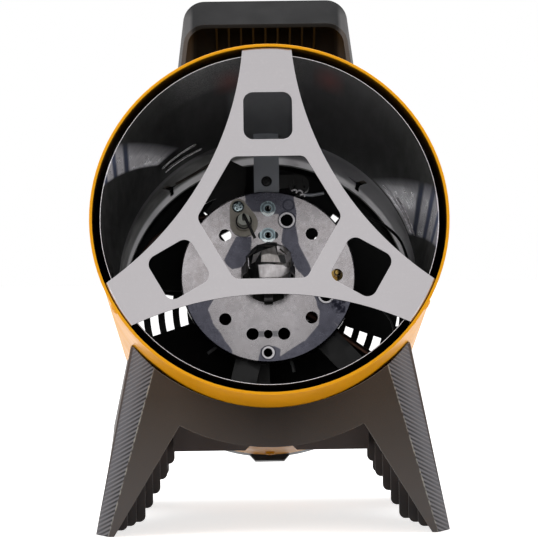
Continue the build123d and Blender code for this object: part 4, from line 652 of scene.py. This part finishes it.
# Pieces


def piece(name, mesh_or_curve, material, body):
    """Links a new object, gives it its material and lets it ride on its body."""
    made = bpy.data.objects.new(name, mesh_or_curve)
    bpy.context.scene.collection.objects.link(made)
    made.data.materials.append(material)
    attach(made, body)
    return made


def mesh_from(name, vertices, faces, smooth=True):
    made = bpy.data.meshes.new(name)
    made.from_pydata([tuple(v) for v in vertices], [], faces)
    made.polygons.foreach_set("use_smooth", [smooth] * len(made.polygons))
    made.update()
    return made


def basis(normal):
    """Two directions square to a normal."""
    side = normal.orthogonal().normalized()
    return side, normal.cross(side)


SCREW_RADIUS = 4.7 * MM
SCREW_HEIGHT = 2.4 * MM


def screw_head(centre, normal, radius, height, turn, vertices, faces):
    """Adds a pan head to the lists: rings of points whose height follows the dome and its cross recess."""
    side, other = basis(normal)
    rings, spokes = 16, 64
    slot_half, slot_reach, slot_depth = radius * 0.13, radius * 0.58, height * 0.62
    start = len(vertices)
    for ring in range(rings + 1):
        share = ring / rings
        for spoke in range(spokes):
            angle = 2 * pi * spoke / spokes
            x, y = radius * share * cos(angle), radius * share * sin(angle)
            rise = height * (1 - 0.38 * share ** 2 - 0.62 * share ** 12)
            tx = abs(x * cos(turn) + y * sin(turn))
            ty = abs(y * cos(turn) - x * sin(turn))
            long, short = max(tx, ty), min(tx, ty)
            if short < slot_half and long < slot_reach:
                rise -= slot_depth * min(1, (slot_reach - long) / (slot_reach * 0.35))
            vertices.append(centre + side * x + other * y + normal * rise)
    for ring in range(rings):
        for spoke in range(spokes):
            a = start + ring * spokes + spoke
            b = start + ring * spokes + (spoke + 1) % spokes
            faces.append((a, b, b + spokes, a + spokes))


def screws(name, places, slot, radius=SCREW_RADIUS, height=SCREW_HEIGHT, shank=6 * MM):
    """Pan-head screws in place of a CAD node: heads with cross recesses on plain shanks."""
    vertices, faces = [], []
    for number, (centre, normal) in enumerate(places):
        screw_head(centre, normal, radius, height, 0.4 + number * 1.1, vertices, faces)
        side, other = basis(normal)
        start = len(vertices)
        sides = 24
        for level in (0, -shank):
            for step in range(sides):
                angle = 2 * pi * step / sides
                vertices.append(centre + (side * cos(angle) + other * sin(angle)) * 1.95 * MM + normal * level)
        for step in range(sides):
            after = (step + 1) % sides
            faces.append((start + step, start + after, start + sides + after, start + sides + step))
        faces.append(tuple(start + sides + step for step in range(sides)))
    made = piece(name + "_detailed", mesh_from(name, vertices, faces), finishes[slot], "heater")
    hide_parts(name)
    return made


def outward(angle):
    """Direction out of the barrel at an angle."""
    return ACROSS * cos(radians(angle)) + UPWARD * sin(radians(angle))


GUARD_ANGLES = (90, 210, 330)
screws("guard_screws", [(around(SHELL_RADIUS, a, 8.5 * MM), outward(a)) for a in GUARD_ANGLES], "yellow_paint",
       shank=4 * MM)
screws("rear_cover_screws", [(around(SHELL_RADIUS, a, 336 * MM), outward(a)) for a in (30, 150, 270)],
       "yellow_paint", shank=4 * MM)
screws("strap_screw", [(at(0, 86.8 * MM, PLATE_DEPTH + 10.2 * MM), -REARWARD)], "motor_steel")
screws("igniter_screw", [(at(-25.1 * MM, 61.4 * MM, PLATE_DEPTH - 2 * MM), -REARWARD)], "zinc", radius=5.3 * MM,
       height=2 * MM, shank=4 * MM)
MOTOR_CIRCLE = 30 * MM
screws("motor_screws", [(around(MOTOR_CIRCLE, a, 371 * MM), REARWARD) for a in (45, 135, 225, 315)], "zinc")


def tube(name, points, radius, material, body, cyclic=False):
    """Round wire along a smooth curve."""
    curve = bpy.data.curves.new(name, "CURVE")
    curve.dimensions = "3D"
    curve.bevel_depth = radius
    curve.bevel_resolution = 4
    curve.resolution_u = 12
    curve.use_fill_caps = True
    spline = curve.splines.new("BEZIER")
    spline.bezier_points.add(len(points) - 1)
    for point, place in zip(spline.bezier_points, points):
        point.co = place
        point.handle_left_type = point.handle_right_type = "AUTO"
    spline.use_cyclic_u = cyclic
    return piece(name, curve, material, body)


# Bright cut edge of the lining
EDGE_POINTS = 48
tube("lining_edge", [around(LINING_RADIUS + 0.35 * MM, 360 * i / EDGE_POINTS, 3.1 * MM)
                     for i in range(EDGE_POINTS)], 0.21 * MM, bright, "heater", cyclic=True)


def arc(radius, start, end, depth, after, count=8):
    """Points along the barrel's wall from one angle and depth to another."""
    return [around(radius, start + (end - start) * i / count, depth + (after - depth) * i / count)
            for i in range(count + 1)]


# Bright pressed lips of the three lances, and the beads behind them where the chamber is crimped to the duct
LANCE_DEPTH = 212 * MM
LIP_HALF_ANGLE = 7.6
LIP_HALF_WIDTH = 2 * MM
for number, middle in enumerate((126, 22, 270)):
    lip = []
    for turn in (-1, 1):
        level = LANCE_DEPTH + turn * LIP_HALF_WIDTH
        reach = turn * LIP_HALF_ANGLE
        lip += arc(LINING_RADIUS - 0.2 * MM, middle + reach, middle - reach, level, level)
    tube(f"lance_lip_{number}", lip, 0.32 * MM, bright, "heater", cyclic=True)
for number, (first, last, depth, after, size) in enumerate((
        (132.7, 116.0, 232, 236, 0.62), (131, 115.4, 226, 233.5, 0.3), (38.5, 16.8, 231, 230, 0.6),
        (31.5, 16.2, 219, 225, 0.34), (28.5, 17.5, 214, 212, 0.34))):
    tube(f"crimp_bead_{number}", arc(LINING_RADIUS - 0.3 * MM, first, last, depth * MM, after * MM), size * MM,
         bright, "heater")


# Flame cup: a folded sheet head with creased planes, inside a flared skirt in painted shade with bright cut edges.
# Its points are given across, up and behind the rim in millimetres, its faces with one of three brightnesses: the
# plain sheet, its painted-light copy and its painted-shade copy.
CUP_POINTS = (
    (-12.8, 11.6, 190), (-5.4, 13.9, 186), (-2.0, 14.8, 185), (5.8, 17.9, 186), (7.5, 19.1, 187),
    (12.7, 18.8, 188), (17.5, 13.7, 188), (19.6, 8.1, 188.5), (19.2, 0.1, 187.5), (17.1, -5.2, 185.5),
    (11.2, -8.9, 185), (-3.4, -10.2, 184), (-10.1, -3.9, 190), (-13.9, 4.5, 194), (-10.7, 5.2, 188),
    (-8.9, 1.4, 183), (5.0, 1.0, 181), (11.3, 0.6, 182), (15.7, -2.0, 182.6), (-6.0, 9.6, 183.5),
    (8.1, 9.6, 184.5), (13.9, 9.7, 184.5), (15.3, 2.3, 184), (-6.2, 4.2, 185.5), (4.6, 3.6, 185),
    (10.6, 3.2, 185.2), (7.3, 13.8, 187.6), (-7.6, -9.6, 184.5), (0.4, 1.9, 181.6), (2.0, 10.6, 182.6),
    (9.5, -16.5, 190), (-5.0, -16.5, 190), (-11.5, -12.5, 194), (16.0, -11.0, 192),
    (-14.2, 16.7, 199), (-7.8, 22.1, 199), (-0.9, 23.6, 199.5), (7.9, 23.1, 199.5), (14.2, 20.0, 199.5),
    (19.0, 14.4, 200), (20.9, 6.6, 200), (20.3, -0.4, 200), (18.5, -8.5, 200), (12.0, -19.5, 200),
    (-6.5, -19.5, 200), (-13.5, -13.0, 200), (-17.3, 3.1, 200), (-17.7, 11.1, 200), (-16.0, -5.0, 200))
MIDDLE, LIT, SHADED = 0, 1, 2
CUP_FACES = (
    ((0, 1, 14, 13), LIT), ((1, 19, 23, 14), SHADED), ((1, 2, 29, 19), MIDDLE), ((2, 3, 20, 29), MIDDLE),
    ((3, 4, 26, 20), SHADED), ((4, 5, 21, 26), LIT), ((26, 21, 20), MIDDLE), ((5, 6, 21), MIDDLE),
    ((6, 7, 22, 21), LIT), ((7, 8, 18, 22), MIDDLE), ((8, 9, 18), LIT), ((19, 29, 24, 23), MIDDLE),
    ((29, 20, 25, 24), MIDDLE), ((20, 21, 22, 25), SHADED), ((14, 23, 15), SHADED), ((23, 24, 28, 15), SHADED),
    ((24, 25, 16, 28), SHADED), ((25, 22, 17, 16), MIDDLE), ((22, 18, 17), LIT), ((15, 28, 11, 27), LIT),
    ((28, 16, 10, 11), LIT), ((16, 17, 10), LIT), ((17, 18, 9, 10), LIT), ((14, 15, 27, 12), SHADED),
    ((13, 14, 12), SHADED), ((10, 30, 31, 11), MIDDLE), ((11, 31, 32, 27), SHADED), ((9, 33, 30, 10), MIDDLE),
    ((12, 27, 32), SHADED),
    ((34, 35, 1, 0), SHADED), ((35, 36, 2, 1), SHADED), ((36, 37, 4, 3, 2), SHADED), ((37, 38, 5, 4), MIDDLE),
    ((38, 39, 6, 5), MIDDLE), ((39, 40, 7, 6), MIDDLE), ((40, 41, 8, 7), SHADED), ((41, 42, 33, 9, 8), SHADED),
    ((42, 43, 30, 33), SHADED), ((43, 44, 31, 30), SHADED), ((44, 45, 32, 31), SHADED), ((45, 48, 12, 32), SHADED),
    ((48, 46, 13, 12), SHADED), ((46, 47, 34, 0, 13), SHADED))


def flame_cup():
    """Folded sheet in place of the plain cup: soft planes with a real wall."""
    mesh = mesh_from("flame_cup_folded", [at(x * MM, u * MM, s * MM) for x, u, s in CUP_POINTS],
                     [corners for corners, _ in CUP_FACES])
    made = piece("flame_cup_folded", mesh, finishes["cup_steel"], "heater")
    made.data.materials.append(cup_lit)
    made.data.materials.append(cup_shaded)
    for polygon, (_, kind) in zip(mesh.polygons, CUP_FACES):
        polygon.material_index = kind
    work = bmesh.new()
    work.from_mesh(mesh)
    bmesh.ops.recalc_face_normals(work, faces=work.faces)
    crease = work.edges.layers.float.get("crease_edge") or work.edges.layers.float.new("crease_edge")
    for edge in work.edges:
        edge[crease] = 0.72
    work.to_mesh(mesh)
    work.free()
    rounded = made.modifiers.new("folds", "SUBSURF")
    rounded.levels = rounded.render_levels = 3
    wall = made.modifiers.new("wall", "SOLIDIFY")
    wall.thickness = 0.5 * MM
    wall.offset = 0
    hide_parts("flame_cup")


BOX_FACES = [(0, 1, 2, 3), (7, 6, 5, 4), (0, 4, 5, 1), (1, 5, 6, 2), (2, 6, 7, 3), (3, 7, 4, 0)]


def strip(name, ends, front, back, thick, material):
    """A short upright band of sheet between two places, seen on its cut edge from the front."""
    (ax, au), (bx, bu) = ends
    length = sqrt((bx - ax) ** 2 + (bu - au) ** 2)
    nx, nu = -(bu - au) / length * thick / 2, (bx - ax) / length * thick / 2
    corners = [(ax + nx, au + nu), (bx + nx, bu + nu), (bx - nx, bu - nu), (ax - nx, au - nu)]
    vertices = [at(x * MM, u * MM, s * MM) for s in (front, back) for x, u in corners]
    made = piece(name, mesh_from(name, vertices, BOX_FACES, smooth=False), material, "heater")
    rounded = made.modifiers.new("rounded", "BEVEL")
    rounded.width, rounded.segments = 0.15 * MM, 2


flame_cup()
CUP_EDGES = (((-13.9, 15.6), (-8.0, 20.7)), ((-0.4, 22.6), (7.6, 22.2)), ((13.4, 18.9), (18.0, 13.9)),
             ((20.2, 6.0), (19.8, -0.2)), ((-16.9, 10.8), (-16.6, 3.2)), ((-16.4, 2.4), (-11.0, -6.9)))
for number, ends in enumerate(CUP_EDGES):
    strip(f"cup_edge_{number}", ends, 197.6, 201, 0.85, bright)
# Dark strips that stand in for the shade in the gaps behind the cup's edges.
CUP_GAP_SHADE = (((-15.0, 16.6), (-8.4, 22.3)), ((-1.2, 24.2), (7.8, 23.6)), ((14.4, 20.2), (19.6, 14.4)),
            ((21.5, 6.4), (21.2, -1.4)), ((-18.4, 11.0), (-18.2, 3.0)))
for number, ends in enumerate(CUP_GAP_SHADE):
    strip(f"cup_gap_shade_{number}", ends, 199, 203, 0.9, finishes["motor_steel"])

# Black groove of the igniter's plate
GROOVE_RADIUS = 6.4
tube("igniter_ring", [at((IGNITER[0] + GROOVE_RADIUS * cos(radians(a))) * MM,
                         (IGNITER[1] + GROOVE_RADIUS * sin(radians(a))) * MM, PLATE_DEPTH - 8.1 * MM)
                      for a in range(105, 421, 20)], 0.75 * MM, finishes["motor_steel"], "heater")

# Wires behind the burner plate
LEADS = (
    ("igniter_lead", [at(IGNITER[0] * MM, IGNITER[1] * MM, PLATE_DEPTH + 23.5 * MM),
                      at(-21 * MM, 48 * MM, PLATE_DEPTH + 32 * MM), at(-35 * MM, 60 * MM, 262 * MM),
                      at(-60 * MM, 62 * MM, 268 * MM), around(112 * MM, 160, 272 * MM),
                      around(124 * MM, 190, 280 * MM), around(126 * MM, 215, 282 * MM)], 1.9, "rust"),
    ("switch_lead_a", [around(88 * MM, 48, 216 * MM), around(93 * MM, 56, 214 * MM),
                       around(106 * MM, 66, 222 * MM), around(118 * MM, 76, 244 * MM),
                       around(124 * MM, 98, 262 * MM),
                       around(125 * MM, 130, 276 * MM)], 1.2, "brown"),
    ("switch_lead_b", [around(92 * MM, 39, 216 * MM), around(98 * MM, 30, 214 * MM),
                       around(112 * MM, 22, 226 * MM), around(123 * MM, 12, 250 * MM),
                       around(125 * MM, -8, 270 * MM)], 1.2, "black"),
    ("sensor_lead", [at(SENSOR[0] * MM, SENSOR[1] * MM, 250 * MM), at(61 * MM, 0, 258 * MM),
                     at(78 * MM, -8 * MM, 266 * MM), around(108 * MM, -14, 272 * MM),
                     around(124 * MM, -24, 274 * MM)], 1.4, "black"))
for name, points, size, colour in LEADS:
    tube(name, points, size * MM, sleeves[colour], "heater")


def bent_wires(rows):
    """Short bent wires, each with its path across and up in the barrel, its depth and its radius."""
    for name, path, depth, size, material, slot in rows:
        tube(name, [at(x * MM, u * MM, depth * MM) for x, u in path], size * MM, material, "heater")


# The overheat switch's crimped terminals and their rod
bent_wires((
    ("terminal_0", ((21.5, 74.2), (24.4, 75.4), (26.6, 73.6)), 221, 0.85, bright, "stainless"),
    ("terminal_1", ((25.0, 72.6), (28.2, 74.8), (31.4, 72.8)), 221, 0.85, bright, "stainless"),
    ("terminal_2", ((28.8, 70.6), (31.8, 71.4), (33.0, 69.6)), 221, 0.85, bright, "stainless"),
    ("terminal_rod", ((32.5, 71.0), (38, 70.6), (44, 71.4), (49.4, 72.2)), 221.5, 1.5, finishes["galvanised"],
     "galvanised")))


def sheet(name, corners, front, thick, material):
    """A flat piece of sheet square to the barrel, from its corners across and up in millimetres."""
    count = len(corners)
    vertices = [at(x * MM, u * MM, s * MM) for s in (front, front + thick) for x, u in corners]
    faces = [tuple(range(count)), tuple(range(2 * count - 1, count - 1, -1))]
    faces += [(i, i + count, (i + 1) % count + count, (i + 1) % count) for i in range(count)]
    made = piece(name, mesh_from(name, vertices, faces, smooth=False), material, "heater")
    rounded = made.modifiers.new("rounded", "BEVEL")
    rounded.width, rounded.segments = 0.25 * MM, 2
    return made


# Air guides behind the burner plate: dark vanes that shade the fan's upper left and its foot
AIR_GUIDES = (
    ("air_guide_upper", ((-44.8, 85.5), (-55.4, 73.3), (-49.4, 67.5), (-36.8, 76.5), (-20.6, 86.4),
                         (-17.7, 98.4), (-17.5, 113.2), (-36.3, 122.7), (-52.6, 110.0), (-65.3, 93.5),
                         (-63.6, 77.8), (-51.6, 82.4)), 290),
    ("air_guide_lower", ((-14.6, -64.8), (0.2, -65.0), (0.8, -88.0), (-15.8, -87.7)), 262))
for name, corners, depth in AIR_GUIDES:
    sheet(name, corners, depth, 1.2, finishes["motor_steel"])

# Clips under the plate, and the bright foot of the lower strap
bent_wires((
    ("clip_0", ((-53.1, -62.4), (-49.1, -59.4), (-43.9, -55.5)), 250, 1.5, finishes["galvanised_dull"],
     "galvanised"),
    ("clip_1", ((18.7, -69.1), (20.5, -74.4), (21.6, -79.7)), 250, 1.5, finishes["galvanised_dull"],
     "galvanised"),
    ("strap_foot", ((-23.4, -85.0), (-22.0, -83.4), (-22.3, -87.6)), 246, 0.7, bright, "stainless")))

# White pointer on the knob
knob_low, knob_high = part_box("valve_knob")
knob_centre = (knob_low + knob_high) / 2
pointer = mesh_from("knob_pointer", [
    (knob_centre.x + x * MM, knob_high.y + y * MM, knob_centre.z + z * MM)
    for y in (-0.3, 0.12) for x, z in ((-0.7, 2), (0.7, 2), (0.7, 8), (-0.7, 8))],
    BOX_FACES, smooth=False)
piece("knob_pointer", pointer, white, "knob")

# Floor, light and camera

FLOOR_HALF = 30
FLOOR_DROP = 0.2 * MM
FLOOR_GLOW = 0.7
WORLD_STRENGTH = 0.55
OBJECT_MIDDLE = Vector((0, 0, 0.2))


def seen(tree):
    """High for camera and mirror rays, which see a white room."""
    path = tree.nodes.new("ShaderNodeLightPath")
    made = tree.nodes.new("ShaderNodeMath")
    made.operation = "MAXIMUM"
    tree.links.new(path.outputs["Is Camera Ray"], made.inputs[0])
    tree.links.new(path.outputs["Is Glossy Ray"], made.inputs[1])
    return made.outputs[0]


def stage_floor():
    """Pale matt floor that keeps the object's shadow."""
    made = bpy.data.objects.new("floor", mesh_from(
        "floor", [(x * FLOOR_HALF, y * FLOOR_HALF, 0) for x, y in ((-1, -1), (1, -1), (1, 1), (-1, 1))],
        [(0, 1, 2, 3)], smooth=False))
    bpy.context.scene.collection.objects.link(made)
    material = bpy.data.materials.new("pale_floor")
    material.use_nodes = True
    tree = material.node_tree
    bsdf = tree.nodes["Principled BSDF"]
    bsdf.inputs["Base Color"].default_value = (0.86, 0.86, 0.86, 1)
    bsdf.inputs["Roughness"].default_value = 0.9
    share = tree.nodes.new("ShaderNodeMath")
    share.operation = "MULTIPLY"
    share.inputs[1].default_value = FLOOR_GLOW
    tree.links.new(seen(tree), share.inputs[0])
    bsdf.inputs["Emission Color"].default_value = (1, 1, 1, 1)
    tree.links.new(share.outputs[0], bsdf.inputs["Emission Strength"])
    made.data.materials.append(material)
    made.location.z = -FLOOR_DROP


def world_light():
    """White world, dimmer as a light than as a background."""
    world = bpy.data.worlds.new("studio")
    bpy.context.scene.world = world
    world.use_nodes = True
    tree = world.node_tree
    background = tree.nodes["Background"]
    background.inputs["Color"].default_value = (1, 1, 1, 1)
    strength = tree.nodes.new("ShaderNodeMapRange")
    strength.inputs["To Min"].default_value = WORLD_STRENGTH
    strength.inputs["To Max"].default_value = 1.0
    tree.links.new(seen(tree), strength.inputs["Value"])
    tree.links.new(strength.outputs["Result"], background.inputs["Strength"])


def lamp(name, place, size, power):
    """Soft area lamp, aimed at the object's middle."""
    data = bpy.data.lights.new(name, "AREA")
    data.shape = "RECTANGLE"
    data.size, data.size_y = size
    data.energy = power
    made = bpy.data.objects.new(name, data)
    made.location = place
    made.rotation_mode = "QUATERNION"
    made.rotation_quaternion = (OBJECT_MIDDLE - Vector(place)).to_track_quat("-Z", "Y")
    bpy.context.scene.collection.objects.link(made)


CAMERA_DISTANCE = 1.846
CAMERA_HEIGHT = 0.209
CAMERA_YAW = radians(0.45)
CAMERA_ROLL = radians(0.8)
CAMERA_SIDE = 0.00085
PIXEL_AT_RIM = 0.77 * MM
FOCAL_PIXELS = CAMERA_DISTANCE / PIXEL_AT_RIM
PHOTO_PIXELS = 538


def photo_camera():
    """Level camera in front of the outlet, with the photograph's small yaw and roll."""
    data = bpy.data.cameras.new("photo_camera")
    data.sensor_width = 36
    data.lens = FOCAL_PIXELS / PHOTO_PIXELS * data.sensor_width
    data.clip_start, data.clip_end = 0.05, 100
    made = bpy.data.objects.new("photo_camera", data)
    look = Vector((sin(CAMERA_YAW), cos(CAMERA_YAW), 0))
    right = Vector((cos(CAMERA_YAW), -sin(CAMERA_YAW), 0))
    up = Vector((0, 0, 1))
    place = Vector((RIM.x, RIM.y, CAMERA_HEIGHT)) - look * CAMERA_DISTANCE - right * CAMERA_SIDE
    turned_right = right * cos(CAMERA_ROLL) - up * sin(CAMERA_ROLL)
    turned_up = up * cos(CAMERA_ROLL) + right * sin(CAMERA_ROLL)
    made.matrix_world = Matrix((
        (turned_right.x, turned_up.x, -look.x, place.x),
        (turned_right.y, turned_up.y, -look.y, place.y),
        (turned_right.z, turned_up.z, -look.z, place.z),
        (0, 0, 0, 1)))
    bpy.context.scene.collection.objects.link(made)
    bpy.context.scene.camera = made


stage_floor()
world_light()
lamp("key_left", (-1.6, -0.9, 1.3), (0.9, 1.4), 14)
lamp("fill_right", (1.7, -0.5, 1.0), (0.7, 1.4), 9)
lamp("top", (0, 0.1, 2.0), (1.4, 1.4), 16)
photo_camera()
bpy.context.scene.view_settings.view_transform = "Standard"
